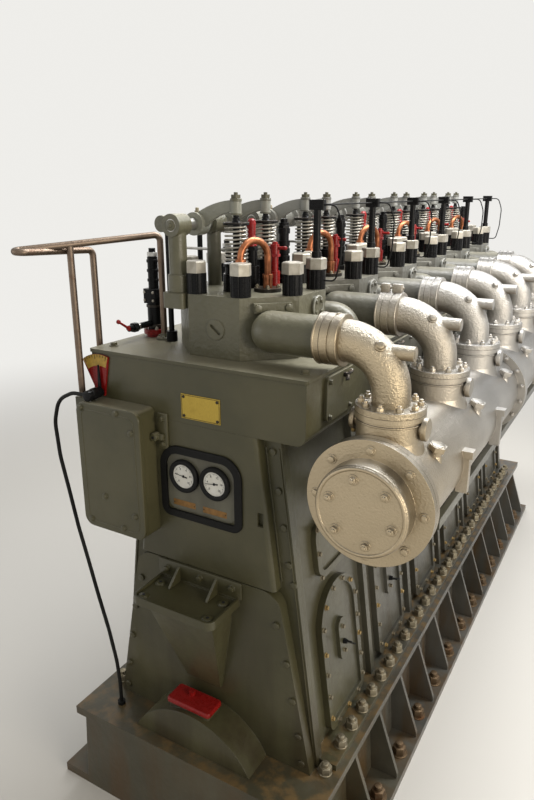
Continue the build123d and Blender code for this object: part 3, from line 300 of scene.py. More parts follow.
# each finish with the material slot that it fills
finishes = {
    "engine": ("engine_enamel", enamel("engine enamel", engineLook)),
    "bed": ("engine_enamel", enamel("bedplate enamel", bedLook)),
    "head": ("head_enamel", enamel("head enamel", headLook)),
    "rocker": ("head_enamel", enamel("rocker enamel", rockerLook)),
    "plate": ("head_enamel", enamel("gauge plate enamel", plateLook)),
    "silver": ("silver_paint", silverPaint("silver paint on castings", castLook)),
    "hammered": ("silver_paint", silverPaint("silver paint on rough bends", bendLook)),
    "seam": ("silver_paint", gloss("shadowed seams", (0.10, 0.085, 0.055), 0.5, (0.16, 0.13, 0.08), 0.4)),
    "nut": ("bright_nut", nutPaint()),
    "black": ("black_gloss", gloss("black gloss", (0.009, 0.009, 0.0095), 0.2, worn=0.08, specular=0.12)),
    "iron": ("black_gloss", gloss("oiled dark iron", (0.035, 0.03, 0.024), 0.32,
                                  (0.16, 0.1, 0.05), 0.5, 0.5)),
    "olive": ("black_gloss", gloss("oiled olive nuts", (0.10, 0.094, 0.064), 0.34,
                                   (0.2, 0.15, 0.08), 0.4, 0.3)),
    "red": ("red_gloss", gloss("red gloss", (0.29, 0.009, 0.008), 0.2, (0.2, 0.02, 0.015), 0.15)),
    "spring": ("spring_steel", steel("spring steel", (0.44, 0.415, 0.36), 0.22)),
    "shaft": ("machined_steel", steel("machined steel", (0.56, 0.55, 0.52), 0.26, (1, 1, 6))),
    "bolt": ("machined_steel", steel("bolt steel", (0.27, 0.235, 0.165), 0.38, stained=0.65)),
    "brassBolt": ("machined_steel", steel("yellowed bolts", (0.42, 0.3, 0.13), 0.4, stained=0.5)),
    "rusty": ("machined_steel", steel("rusty foundation nuts", (0.16, 0.11, 0.065), 0.45,
                                      stain=(0.12, 0.05, 0.02), stained=0.8)),
    "copper": ("copper", copperPipe()),
    "rubber": ("black_rubber", gloss("black rubber", (0.010, 0.010, 0.0095), 0.42, (0.04, 0.04, 0.036), 0.25,
                                     specular=0.15)),
    "ink": ("black_rubber", gloss("dial ink", (0.01, 0.01, 0.012), 0.5, worn=0.05)),
    "dial": ("gauge_white", dialWhite()),
    "brass": ("plate_yellow", steel("yellow brass plate", (0.52, 0.37, 0.075), 0.36, (6, 1, 1),
                                    (0.2, 0.13, 0.03), 0.4)),
    "yellow": ("plate_yellow", gloss("yellow scale", (0.56, 0.36, 0.07), 0.35, (0.3, 0.2, 0.06), 0.3)),
    "amber": ("plate_yellow", gloss("amber label", (0.30, 0.155, 0.045), 0.4, (0.14, 0.08, 0.03), 0.4)),
    "rail": ("rail_steel", steel("guard rail steel", (0.2, 0.15, 0.112), 0.32, (1, 1, 0.2),
                                 (0.12, 0.06, 0.035), 0.7)),
}
# what the nodes of the frame wear: by their slot, or by their own name
slotFinish = {
    "engine_enamel": "engine", "head_enamel": "head", "silver_paint": "silver", "black_gloss": "black",
    "red_gloss": "red", "bright_nut": "nut", "spring_steel": "spring", "machined_steel": "shaft",
    "copper": "copper", "black_rubber": "rubber", "gauge_white": "rubber", "plate_yellow": "brass",
    "rail_steel": "rail",
}
ownFinish = {"bedplate": "bed", "bed_gussets": "bed", "bend_flanges": "iron", "adjusting_nuts": "olive",
             "exhaust_elbows": "hammered", "rocker_arms": "rocker"}

for part in frame["record"]["subparts"]:
    look = ownFinish.get(part["node"], slotFinish[part["material_slot"]])
    materials = frame["nodes"][part["node"]].data.materials
    materials.clear()
    materials.append(finishes[look][1])
print("finishes on the frame")


# shapes are built standing on z = 0, then set down with a matrix
def standOn(at, normal=up, turn=0.0):
    tilt = Vector(normal).to_track_quat("Z", "Y").to_matrix().to_4x4()
    return Matrix.Translation(at) @ tilt @ Matrix.Rotation(turn, 4, "Z")


def turned(bm, low, high, radius, sides=24, rim=0.0, top=None, steps=2, at=(0, 0)):
    made = bmesh.ops.create_cone(
        bm, cap_ends=True, segments=sides, radius1=radius, radius2=radius if top is None else top,
        depth=high - low, matrix=Matrix.Translation((at[0], at[1], (low + high) / 2)))
    if rim:
        inside = set(made["verts"])
        edges = {e for v in inside for e in v.link_edges if all(abs(p.co.z - high) < 1e-6 for p in e.verts)}
        bmesh.ops.bevel(bm, geom=list(edges), offset=rim, segments=steps, profile=0.5,
                        affect="EDGES", material=-1)


def block(bm, size, at=(0, 0, 0), rim=0.0, matrix=None):
    made = bmesh.ops.create_cube(bm, size=1.0)
    bmesh.ops.transform(bm, verts=made["verts"],
                        matrix=(matrix or Matrix()) @ Matrix.Translation(at) @ Matrix.Diagonal((*size, 1)))
    if rim:
        edges = list({e for v in made["verts"] for e in v.link_edges})
        bmesh.ops.bevel(bm, geom=edges, offset=rim, segments=2, profile=0.5, affect="EDGES", material=-1)


def shape(build, *sizes):
    bm = bmesh.new()
    build(bm, *sizes)
    mesh = bpy.data.meshes.new("shape")
    bm.to_mesh(mesh)
    bm.free()
    return mesh


# closed outline pushed along a way, gives the face that it started from
def extruded(bm, outline, way):
    face = bm.faces.new([bm.verts.new(point) for point in outline])
    pushed = bmesh.ops.extrude_face_region(bm, geom=[face], use_keep_orig=True)["geom"]
    bmesh.ops.translate(bm, verts=[v for v in pushed if isinstance(v, bmesh.types.BMVert)], vec=way)
    return face


# one mesh of rings on one axis: low, high, radius, then sides, rim and top where they differ
def rings(*measures):
    return shape(lambda bm: [turned(bm, *each) for each in measures])


def copyIn(bm, mesh, matrix):
    placed = mesh.copy()
    placed.transform(matrix)
    bm.from_mesh(placed)
    bpy.data.meshes.remove(placed)


def addObject(name, data):
    made = bpy.data.objects.new(name, data)
    bpy.context.scene.collection.objects.link(made)
    return made


def piece(bm, name, look):
    slot, material = finishes[look]
    bmesh.ops.recalc_face_normals(bm, faces=bm.faces)
    mesh = bpy.data.meshes.new(name)
    bm.to_mesh(mesh)
    bm.free()
    mesh.materials.append(material)
    mesh.polygons.foreach_set("use_smooth", [True] * len(mesh.polygons))
    mesh.set_sharp_from_angle(angle=math.radians(38))
    made = addObject(name, mesh)
    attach(made, "engine")


def scatter(name, mesh, places, look):
    bm = bmesh.new()
    for place in places:
        copyIn(bm, mesh, place)
    piece(bm, name, look)


def hexBolt(bm, flats, height, washer=0.0, stud=0.0):
    base = 0.0
    if washer:
        base = flats * 0.12
        turned(bm, 0, base, washer, rim=base * 0.4, steps=1)
    turned(bm, base, base + height, flats / math.sqrt(3), sides=6, rim=flats * 0.08)
    if stud:
        turned(bm, base + height, base + height + stud, flats * 0.32, sides=16, rim=flats * 0.05)


def roundBolt(bm, radius, height, seat=0.0):
    if seat:
        turned(bm, 0, height * 0.3, seat, rim=height * 0.1, steps=1)
    turned(bm, 0, height, radius, rim=height * 0.35)


def ringBead(bm, radius, thick, steps):
    ring = bmesh.ops.create_circle(bm, segments=14, radius=thick)["verts"]
    bmesh.ops.transform(bm, verts=ring,
                        matrix=Matrix.Translation((radius, 0, 0)) @ Matrix.Rotation(math.pi / 2, 4, "X"))
    edges = list({e for v in ring for e in v.link_edges})
    bmesh.ops.spin(bm, geom=ring + edges, cent=(0, 0, 0), axis=up,
                   angle=2 * math.pi, steps=steps, use_merge=True)


def onRing(centre, radius, count, start=0.0):
    return [(centre[0] + radius * math.cos(math.radians(start + 360 * i / count)),
             centre[1] + radius * math.sin(math.radians(start + 360 * i / count))) for i in range(count)]


# places that face the gauge end, places on the pipes, and the same spots at every cylinder
def onFront(spots, y):
    return [standOn((x, y, z), south) for x, z in spots]


def onPipes(*reach, z=portZ):
    return [standOn((x, port, z), east) for port in ports for x in reach]


def onRows(spots, normal=up, turn=0.0):
    return [standOn((x, row + y, z), normal, turn) for row in rows for x, y, z in spots]


# corner points of an upright rounded rectangle, anticlockwise
def roundedLoop(x, z, width, height, radius, steps=6):
    points = []
    for i, (sx, sz) in enumerate(((1, 1), (-1, 1), (-1, -1), (1, -1))):
        for j in range(steps + 1):
            angle = math.pi / 2 * (i + j / steps)
            points.append((x + sx * (width / 2 - radius) + radius * math.cos(angle),
                           z + sz * (height / 2 - radius) + radius * math.sin(angle)))
    return points


def endCover():
    spec = dict(
        flangeFace=-1.922, rimCircle=0.2, rimBolts=8, rimBolt=(0.024, 0.009, 0.019), discCircle=0.120,
        discBolts=6, discTurn=43, discBolt=(0.025, 0.013, 0.020, 0.006), bead=(0.158, 0.008, 72),
        beadSunk=0.004)
    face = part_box("manifold_end_cover")[0].y
    centre = (manifoldX, manifoldZ)
    places = [standOn((x, spec["flangeFace"], z), south, 0.4 * x)
              for x, z in onRing(centre, spec["rimCircle"], spec["rimBolts"])]
    scatter("end_cover_rim_bolts", shape(hexBolt, *spec["rimBolt"]), places, "silver")
    places = [standOn((x, face, z), south, 0.7 * z)
              for x, z in onRing(centre, spec["discCircle"], spec["discBolts"], spec["discTurn"])]
    scatter("end_cover_disc_bolts", shape(hexBolt, *spec["discBolt"]), places, "silver")
    places = onFront([centre], face + spec["beadSunk"])
    scatter("end_cover_bead", shape(ringBead, *spec["bead"]), places, "silver")


def branches():
    spec = dict(
        flangeTop=2.098, nutCircle=(0.1045, 10, 18), nut=(0.023, 0.014, 0.0185, 0.009),
        bend=(0.546, 2.130), screwReach=0.233, screwLean=38.4, screwAhead=0.048, screwTilt=(0.75, -0.66),
        screw=((-0.010, 0.005, 0.0205, 24, 0.002), (0.004, 0.015, 0.0165, 24, 0.004, 0.0135)),
        stubEnd=(0.802, 2.287), stubDisc=(-0.0005, 0.0008, 0.0175, 32, 0.0004), bossReach=0.139,
        bossZ=2.026, beadZ=2.046, bead=(0.1185, 0.0042, 64), rim=(0.1235, 0.0036, 64),
        seam=(-0.0207, -0.0193, 0.1274, 72))

    def bossCap(bm):
        # screwed cap wider than the boss, with a raised edge and a shallow middle
        turned(bm, -0.015, 0.004, 0.0425, 48, 0.004, 0.041)
        ringBead(bm, 0.0330, 0.0045, 48)

    places = [standOn((x, y, spec["flangeTop"]), up, i * 0.5) for port in ports
              for i, (x, y) in enumerate(onRing((manifoldX, port), *spec["nutCircle"]))]
    scatter("branch_flange_nuts", shape(hexBolt, *spec["nut"]), places, "silver")
    lean = math.radians(spec["screwLean"])
    along, ahead = spec["screwTilt"]
    out = Vector((along * math.sin(lean), ahead, along * math.cos(lean)))
    x, z = spec["bend"]
    places = [standOn((x + spec["screwReach"] * math.sin(lean), port - spec["screwAhead"],
                       z + spec["screwReach"] * math.cos(lean)), out) for port in ports]
    scatter("elbow_screws", rings(*spec["screw"]), places, "silver")
    x, z = spec["stubEnd"]
    scatter("thermometer_stub_ends", rings(spec["stubDisc"]), onPipes(x, z=z), "silver")
    places = [standOn((manifoldX + way * spec["bossReach"], port, spec["bossZ"]), (way, 0, 0))
              for port in ports for way in bothWays]
    scatter("branch_boss_caps", shape(bossCap), places, "silver")
    places = [Matrix.Translation((manifoldX, port, spec["beadZ"])) for port in ports]
    scatter("branch_beads", shape(ringBead, *spec["bead"]), places, "silver")
    places = [Matrix.Translation((manifoldX, port, spec["flangeTop"])) for port in ports]
    scatter("branch_flange_rims", shape(ringBead, *spec["rim"]), places, "silver")
    scatter("branch_flange_seams", rings(spec["seam"]), places, "seam")


def manifoldJoints():
    spec = dict(
        seamRadius=0.23635, seamHalf=0.0012, seamY=-1.898, seamOpen=5, shoulder=(0.866, 0.088, 1.880),
        shoulderTilt=(0.25, 0, 1),
        collar=((-0.012, 0.030, 0.040, 32, 0, 0.026), (0.066, 0.0685, 0.0285, 6, 0.002)),
        jointCircle=(0.219, 16, 11.25), jointFaces=((-0.276, south), (-0.216, north)),
        jointBolt=(0.022, 0.012, 0, 0.006), cockX=-0.131, cockZ=2.0, cockTilt=(-0.25, 0, -1),
        cock=((-0.004, 0.030, 0.009, 16, 0.002), (0.012, 0.024, 0.0125, 6, 0.002)))
    bm = bmesh.new()  # joint between the end cover and the manifold, open where it is widest
    start = math.radians(spec["seamOpen"])
    line = [bm.verts.new((spec["seamRadius"] * math.cos(start), way * spec["seamHalf"],
                          spec["seamRadius"] * math.sin(start))) for way in bothWays]
    bmesh.ops.spin(bm, geom=line + [bm.edges.new(line)], cent=(0, 0, 0), axis=south,
                   angle=math.radians(360 - 2 * spec["seamOpen"]), steps=90)
    bmesh.ops.translate(bm, verts=bm.verts, vec=(manifoldX, spec["seamY"], manifoldZ))
    piece(bm, "end_cover_seam", "seam")
    x, behind, z = spec["shoulder"]
    places = [standOn((x, port + behind, z), spec["shoulderTilt"]) for port in ports]
    scatter("shoulder_plug_collars", rings(*spec["collar"]), places, "silver")
    places = [standOn((x, y, z), way, z)
              for x, z in onRing((manifoldX, manifoldZ), *spec["jointCircle"])
              for y, way in spec["jointFaces"]]
    scatter("manifold_joint_bolts", shape(hexBolt, *spec["jointBolt"]), places, "silver")
    places = [standOn((manifoldX + spec["cockX"], port, spec["cockZ"]), spec["cockTilt"]) for port in ports]
    scatter("branch_drain_cocks", rings(*spec["cock"]), places, "brassBolt")


def bandDetails():
    # lips and lines of the joint bands, with the keys at the top
    spec = dict(
        lips=(0.4545, 0.5405), lip=(0.0925, 0.0034, 72), lineX=0.478, line=(-0.0011, 0.0011, 0.0943, 72),
        gapX=0.5125, gap=(-0.0042, 0.0042, 0.0905, 72), keyX=0.512, keySize=(0.011, 0.010, 0.008),
        keyTurns=(-0.16, 0.02), crown=0.0925, earZ=2.418, ears=((0.465, 0.040), (0.519, 0.046)),
        earDepth=0.024, earHeight=0.040, earBolt=(0, 0.107, 0.0065, 16, 0.002), earBoltAt=(0.440, 0.004))
    scatter("joint_ring_lips", shape(ringBead, *spec["lip"]), onPipes(*spec["lips"]), "silver")
    scatter("joint_ring_lines", rings(spec["line"]), onPipes(spec["lineX"]), "seam")
    scatter("joint_ring_gaps", rings(spec["gap"]), onPipes(spec["gapX"]), "silver")
    bm = bmesh.new()  # wedge keys at the crown of the gap
    for port in ports:
        for turn in spec["keyTurns"]:
            block(bm, spec["keySize"], (0, 0, spec["crown"]), 0.0015,
                  Matrix.Translation((spec["keyX"], port, portZ)) @ Matrix.Rotation(turn, 4, "X"))
    piece(bm, "joint_ring_keys", "silver")
    bm = bmesh.new()  # clamp ears with a cross bolt on the second band
    for x, long in spec["ears"]:
        block(bm, (long, spec["earDepth"], spec["earHeight"]), (x, ports[1], spec["earZ"]), 0.004)
    x, above = spec["earBoltAt"]
    copyIn(bm, rings(spec["earBolt"]), standOn((x, ports[1], spec["earZ"] + above), east))
    piece(bm, "joint_clamp_ears", "silver")


def headDetails():
    spec = dict(
        cover=(0.302, 0.024, 2.370), coverRim=(0.0425, 0.0045, 48), rimX=0.3010, coverBolt=(0.017, 0.009),
        coverCircle=0.031, bendFoot=(0.113, -0.061), footCircle=0.043, footRise=0.014,
        footNut=(0.015, 0.008, 0.0105, 0.004), clamp=(0.219, -0.205, -0.038), clampFace=0.0132,
        clampEnds=(-0.060, 0.060), clampBolt=(0.0145, 0.009), lugCircle=0.2995, lugAngles=(-22.5, 22.5),
        lugDrop=0.012, lug=(-0.040, 0.006, 0.0095, 20, 0.004))
    coverX, coverY, coverZ = spec["cover"]
    places = [standOn((coverX, y, z), east) for row in rows
              for y, z in onRing((row + coverY, coverZ), spec["coverCircle"], 4, 45)]
    scatter("head_cover_bolts", shape(hexBolt, *spec["coverBolt"]), places, "head")
    places = [standOn((x, y, headTop + spec["footRise"]), up, x) for row in rows
              for x, y in onRing((spec["bendFoot"][0], row + spec["bendFoot"][1]), spec["footCircle"], 4, 30)]
    scatter("bend_flange_nuts", shape(hexBolt, *spec["footNut"]), places, "bolt")
    # the clamp bars lie across the front right corners of the heads
    x, y, z = spec["clamp"]
    diagonal = Vector((1, -1, 0)).normalized()
    along = Vector((1, 1, 0)).normalized()
    places = [standOn(Vector((x, row + y, headTop + z)) + diagonal * spec["clampFace"] + along * end,
                      diagonal) for row in rows for end in spec["clampEnds"]]
    scatter("clamp_bar_bolts", shape(roundBolt, *spec["clampBolt"]), places, "head")
    places = [standOn((spec["lugCircle"] * math.cos(math.radians(angle)),
                       row + spec["lugCircle"] * math.sin(math.radians(angle)), headTop - spec["lugDrop"]))
              for row in rows for angle in spec["lugAngles"]]
    scatter("head_corner_lugs", rings(spec["lug"]), places, "head")
    places = onRows([(spec["rimX"], coverY, coverZ)], east)
    scatter("head_cover_rims", shape(ringBead, *spec["coverRim"]), places, "rocker")


def rockerDetails():
    spec = dict(
        valveY=0.115, stemTop=2.697, tipTop=2.7845, shaftX=-0.188, shaftZ=2.69, cupZ=2.735,
        lock=((0, 0.009, 0.019, 24, 0.002, 0.015), (0.008, 0.022, 0.0145, 24, 0.005),
              (0.022, 0.030, 0.011, 24, 0.001)),
        capLip=(0.0495, 0.003, 40),
        band=((-0.006, 0.0056, 0.0235, 32, 0.002), (-0.056, -0.050, 0.0235, 32, 0.001)),
        cup=((-0.002, 0.007, 0.011, 6, 0.001), (0.007, 0.019, 0.0075, 16, 0.003)),
        shaftEnds=((-0.293, south), (0.162, north)),
        plug=((-0.001, 0.006, 0.021, 24, 0.003), (0.005, 0.012, 0.009, 6, 0.001)), postY=-0.253,
        postRise=0.066, postBead=(0.0395, 0.0042, 48))

    def overValves(x, z):
        return onRows([(x, way * spec["valveY"], z) for way in bothWays])

    # ball and collar of the stem under the rocker tip
    places = overValves(0, spec["stemTop"])
    scatter("valve_stem_locks", rings(*spec["lock"]), places, "black")
    scatter("spring_cap_lips", shape(ringBead, *spec["capLip"]), places, "iron")
    scatter("rocker_tip_bands", rings(*spec["band"]), overValves(0, spec["tipTop"]), "head")
    scatter("rocker_oil_cups", rings(*spec["cup"]), overValves(spec["shaftX"], spec["cupZ"]), "bolt")
    places = []
    for y, way in spec["shaftEnds"]:
        places += onRows([(spec["shaftX"], y, spec["shaftZ"])], way)
    scatter("rocker_shaft_plugs", rings(*spec["plug"]), places, "head")
    places = onRows([(spec["shaftX"], spec["postY"], headTop + spec["postRise"])])
    scatter("pedestal_beads", shape(ringBead, *spec["postBead"]), places, "head")


def valveHandles():
    # each kind stands on every head at these places
    spec = dict(
        relief_lever_balls=("red", [(0.138, 0.04, 2.594)], None),
        relief_valve_tops=("red", [(0.088, 0.04, 2.608)], (0, 0.010, 0.012, 6, 0.002)),
        relief_valve_collars=("red", [(0.088, 0.04, 2.486), (0.088, 0.04, 2.558)],
                              (0, 0.012, 0.0232, 6, 0.002)),
        cap_rings=("red", [(0, 0, 2.6015), (0, 0, 2.630)], (0, 0.006, 0.0228, 32, 0.002)),
        bend_unions=("copper", [(0.066, -0.190, 2.549), (0.113, -0.061, 2.482)],
                     (0, 0.016, 0.0215, 24, 0.002)),
        injector_hexagons=("black", [(0, 0, 2.584)], (0, 0.015, 0.0275, 6, 0.002)),
        air_valve_hexagons=("black", [(0.040, 0.205, 2.500), (0.040, 0.205, 2.665)],
                            (0, 0.012, 0.0265, 6, 0.002)))
    hexTurn = {"air_valve_hexagons": 0.4}

    def ball(bm):
        bmesh.ops.create_uvsphere(bm, u_segments=16, v_segments=10, radius=0.0085)

    for name, (look, spots, ring) in spec.items():
        places = onRows(spots, up, hexTurn.get(name, 0))
        scatter(name, rings(ring) if ring else shape(ball), places, look)


def gauges():
    spec = dict(
        places=[(-0.081, 1.702), (0.071, 1.702)], front=-1.917, face=-1.9122,
        rim=[(0.0515, -0.0045), (0.0535, 0.002), (0.0605, 0.0045), (0.0675, 0.0035), (0.0715, -0.001),
             (0.0722, -0.010)],
        disc=(0, 0.001, 0.0555, 64), plate=(-0.003, 1.667, 0.337, 0.259, 0.048), plateFrom=0.001,
        plateDepth=0.0017, labels=((-0.145, -0.033, 1.573), (0.005, 0.121, 1.571)), labelHigh=0.027,
        labelThick=0.0016, pins=(-0.140, -0.038, 0.010, 0.116), pinZ=1.572,
        pin=(0, 0.0012, 0.0024, 12, 0.0004))

    def rim(bm):
        line = [bm.verts.new((r, 0, h)) for r, h in spec["rim"]]
        edges = [bm.edges.new(pair) for pair in zip(line, line[1:])]
        bmesh.ops.spin(bm, geom=line + edges, cent=(0, 0, 0), axis=up, angle=2 * math.pi,
                       steps=64, use_merge=True)

    scatter("gauge_rims", shape(rim), onFront(spec["places"], spec["front"]), "rubber")
    scatter("gauge_faces", rings(spec["disc"]), onFront(spec["places"], spec["face"]), "dial")
    bm = bmesh.new()
    back = extruded(bm, [(x, panelFace + spec["plateFrom"], z) for x, z in roundedLoop(*spec["plate"])],
                    (0, -spec["plateDepth"], 0))
    bmesh.ops.delete(bm, geom=[back], context="FACES_ONLY")
    piece(bm, "gauge_back_plate", "plate")
    gaugeScales(spec["places"], spec["face"])
    bm = bmesh.new()
    thick = spec["labelThick"]
    for x0, x1, z in spec["labels"]:
        block(bm, (x1 - x0, thick, spec["labelHigh"]), ((x0 + x1) / 2, panelFace - thick / 2, z), 0.0006)
    piece(bm, "gauge_labels", "amber")
    places = onFront([(x, spec["pinZ"]) for x in spec["pins"]], panelFace - thick)
    scatter("gauge_label_pins", rings(spec["pin"]), places, "iron")


def gaugeScales(places, face):
    spec = dict(
        start=225, sweep=270, ticks=41, tickEnd=0.0455, longTick=(0.0065, 0.0011, 0.0006),
        shortTick=(0.003, 0.0006, 0.0006), tickLift=0.0012, numbers=range(0, 11, 2), numberFactor=(1, 2),
        numberCircle=0.0335, numberSize=0.0125, numberThick=0.0002, numberLift=0.0014, angles=(172, 188),
        pointerLift=0.0013)

    def upright(x, y, z, angle=0.0):
        tilt = Matrix.Rotation(math.pi / 2, 4, "X")
        return Matrix.Translation((x, y, z)) @ tilt @ Matrix.Rotation(angle, 4, "Z")

    bm = bmesh.new()
    for (x, z), factor in zip(places, spec["numberFactor"]):
        for i in range(spec["ticks"]):
            angle = math.radians(spec["start"] - spec["sweep"] * i / (spec["ticks"] - 1))
            size = spec["longTick"] if i % 4 == 0 else spec["shortTick"]
            tick = shape(lambda b: block(b, size, (spec["tickEnd"] - size[0] / 2, 0, 0)))
            copyIn(bm, tick, upright(x, face - spec["tickLift"], z, angle))
        for i in spec["numbers"]:
            angle = math.radians(spec["start"] - 27 * i)
            text = bpy.data.curves.new("number", "FONT")
            text.body = str(i * factor)
            text.size = spec["numberSize"]
            text.align_x = text.align_y = "CENTER"
            text.extrude = spec["numberThick"]
            holder = bpy.data.objects.new("number", text)
            place = upright(x + spec["numberCircle"] * math.cos(angle), face - spec["numberLift"],
                            z + spec["numberCircle"] * math.sin(angle))
            copyIn(bm, bpy.data.meshes.new_from_object(holder), place)
            bpy.data.objects.remove(holder)
    piece(bm, "gauge_scales", "ink")

    def pointer(b):
        turned(b, 0, 0.003, 0.0055, sides=24, rim=0.001)
        block(b, (0.046, 0.0017, 0.001), (0.020, 0, 0.0018))
        block(b, (0.015, 0.005, 0.001), (-0.011, 0, 0.0018))

    hands = [upright(x, face - spec["pointerLift"], z, math.radians(angle))
             for (x, z), angle in zip(places, spec["angles"])]
    scatter("gauge_pointers", shape(pointer), hands, "ink")


def namePlate():
    spec = dict(
        at=(0.008, 2.005), border=(0.180, 0.096), edge=(0.089, 0.047), line=0.0016, lineHigh=0.0012,
        screws=(0.08, 0.039), screw=(0, 0.0025, 0.006, 24, 0.001))
    x, z = spec["at"]
    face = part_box("name_plate")[0].y
    bm = bmesh.new()
    dx, dz = spec["edge"]
    for side in bothWays:
        block(bm, (spec["border"][0], spec["lineHigh"], spec["line"]), (x, face, z + side * dz))
        block(bm, (spec["line"], spec["lineHigh"], spec["border"][1]), (x + side * dx, face, z))
    piece(bm, "name_plate_border", "iron")
    dx, dz = spec["screws"]
    places = onFront([(x + sx * dx, z + sz * dz) for sx in bothWays for sz in bothWays], face)
    scatter("name_plate_screws", rings(spec["screw"]), places, "iron")


# closed bead of round section that lies in an upright plane
def tubeRound(bm, points, radius, sides=10):
    straight = Vector(north)
    circles = []
    count = len(points)
    for i, point in enumerate(points):
        ahead = (points[(i + 1) % count] - points[i - 1]).normalized()
        beside = ahead.cross(straight)
        circles.append([bm.verts.new(point + radius * (math.cos(2 * math.pi * j / sides) * beside
                                                       + math.sin(2 * math.pi * j / sides) * straight))
                        for j in range(sides)])
    for i in range(count):
        for j in range(sides):
            bm.faces.new((circles[i - 1][j - 1], circles[i - 1][j], circles[i][j], circles[i][j - 1]))


def controlDetails():
    spec = dict(
        bolts=[(-0.534, 1.953), (-0.340, 1.957), (-0.264, 1.885), (-0.432, 1.568), (-0.521, 1.439),
               (-0.269, 1.512), (-0.338, 1.440)],
        bolt=(0.0115, 0.009, 0.0150), bead=(-0.391, 1.6925, 0.286, 0.512, 0.034), beadRise=0.0006,
        beadRadius=0.0028, hub=(-0.505, 2.002), scaleY=-1.9103, scale=(0.112, 0.161), scaleFrom=72.5,
        scaleSweep=53, marksY=-1.9112, marksFrom=76, marksSweep=46, marks=9,
        longMark=(0.0018, 0.0006, 0.020), longAt=0.150, shortMark=(0.0018, 0.0006, 0.011), shortAt=0.1545,
        unionY=-1.9262, union=((0.0, 0.0745, 0.0228, 32, 0.004), (0.022, 0.048, 0.0275, 6, 0.003)))
    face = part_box("control_box_lid")[0].y
    hubX, hubZ = spec["hub"]
    scatter("control_box_bolts", shape(roundBolt, *spec["bolt"]), onFront(spec["bolts"], face), "engine")
    bm = bmesh.new()  # raised bead that follows the lid's edge
    loop = [Vector((x, face + spec["beadRise"], z)) for x, z in roundedLoop(*spec["bead"])]
    tubeRound(bm, loop, spec["beadRadius"])
    piece(bm, "control_box_lid_bead", "engine")
    bm = bmesh.new()  # yellow arc band on the quadrant
    start = math.radians(spec["scaleFrom"])
    line = [bm.verts.new((r * math.cos(start), 0, r * math.sin(start))) for r in spec["scale"]]
    bmesh.ops.spin(bm, geom=line + [bm.edges.new(line)], cent=(0, 0, 0), axis=south,
                   angle=math.radians(spec["scaleSweep"]), steps=24)
    bmesh.ops.translate(bm, verts=bm.verts, vec=(hubX, spec["scaleY"], hubZ))
    bmesh.ops.solidify(bm, geom=bm.faces[:], thickness=0.0008)
    piece(bm, "quadrant_scale", "yellow")
    bm = bmesh.new()
    for i in range(spec["marks"]):
        angle = math.radians(spec["marksFrom"] + spec["marksSweep"] * i / (spec["marks"] - 1))
        kind = "long" if i % 4 == 0 else "short"
        block(bm, spec[kind + "Mark"], (0, 0, spec[kind + "At"]), 0,
              Matrix.Translation((hubX, spec["marksY"], hubZ)) @ Matrix.Rotation(math.pi / 2 - angle, 4, "Y"))
    piece(bm, "quadrant_marks", "ink")
    # black union nut on the hub where the conduit goes in
    scatter("conduit_union_nut", rings(*spec["union"]), onFront([spec["hub"]], spec["unionY"]), "black")


def latch():
    spec = dict(
        plate=((0.050, 0.010, 0.154), (-0.1800, -0.005, 1.880), 0.004),
        catch=((0.042, 0.016, 0.026), (-0.190, -0.018, 1.857), 0.006), eye=(-0.2065, 1.858),
        barrel=(0, 0.030, 0.0175, 24, 0.005), barrelRise=0.012, bolts=((-0.180, 1.934), (-0.179, 1.826)),
        bolt=(0.018, 0.009, 0.013), hole=(0, 0.0006, 0.0065), holeRise=0.042)
    bm = bmesh.new()
    for size, (x, y, z), rim in (spec["plate"], spec["catch"]):
        block(bm, size, (x, panelFace + y, z), rim)
    copyIn(bm, rings(spec["barrel"]), *onFront([spec["eye"]], panelFace - spec["barrelRise"]))
    piece(bm, "latch_bracket", "engine")
    scatter("latch_bolts", shape(hexBolt, *spec["bolt"]), onFront(spec["bolts"], panelFace - 0.01), "engine")
    # black disc on the barrel end stands for the eye: painted shade of the hole
    scatter("latch_eye", rings(spec["hole"]), onFront([spec["eye"]], panelFace - spec["holeRise"]), "ink")


def caseFasteners():
    spec = dict(
        seam=[(0.304, 1.867), (0.330, 1.708), (0.355, 1.555), (0.380, 1.396), (0.402, 1.312)], seamY=1.850,
        lower=[(0.351, 1.138), (0.400, 0.970), (0.431, 0.798), (0.461, 0.630), (0.479, 0.498)],
        bolt=(0.0155, 0.009), foot=(0.529, 0.455), head=1.885, slope=0.1301, strip=0.006, stripY=1.852,
        insets=(0.012, 0.068), innerReach=0.60)
    places = []
    for spots, y in ((spec["seam"], -spec["seamY"]), (spec["lower"], panelFace)):
        for x, z in spots:
            for side in bothWays:
                places += [standOn((side * x, y, z), south), standOn((side * x, -y, z), north)]
    scatter("cover_bolts", shape(roundBolt, *spec["bolt"]), places, "engine")
    bm = bmesh.new()  # strips that close the corner seams
    footX, footZ = spec["foot"]
    for side in bothWays:
        for inset in spec["insets"]:
            foot = Vector((side * (footX - inset), 0, footZ))
            head = Vector((side * (footX - inset - spec["slope"] * (spec["head"] - footZ)), 0, spec["head"]))
            lean = Matrix.Rotation(math.atan2(head.x - foot.x, head.z - foot.z), 4, "Y")
            if inset == spec["insets"][1]:
                foot = foot.lerp(head, spec["innerReach"])
            middle = (foot + head) / 2
            for y in (-spec["stripY"], spec["stripY"]):
                block(bm, (spec["strip"], spec["strip"], (head - foot).length), (0, 0, 0), 0.0025,
                      Matrix.Translation((middle.x, y, middle.z)) @ lean)
    piece(bm, "corner_strips", "engine")


# a place on the leaning crankcase wall, raised by so much
def onWall(side, y, z, out, turn=0.0):
    slope = 0.13007
    lean = math.atan(slope)
    x = 0.529 - (z - 0.450) * slope - 0.030
    normal = Vector((side * math.cos(lean), 0, math.sin(lean)))
    return standOn((side * (x + out * math.cos(lean)), y, z + out * math.sin(lean)), normal, turn)


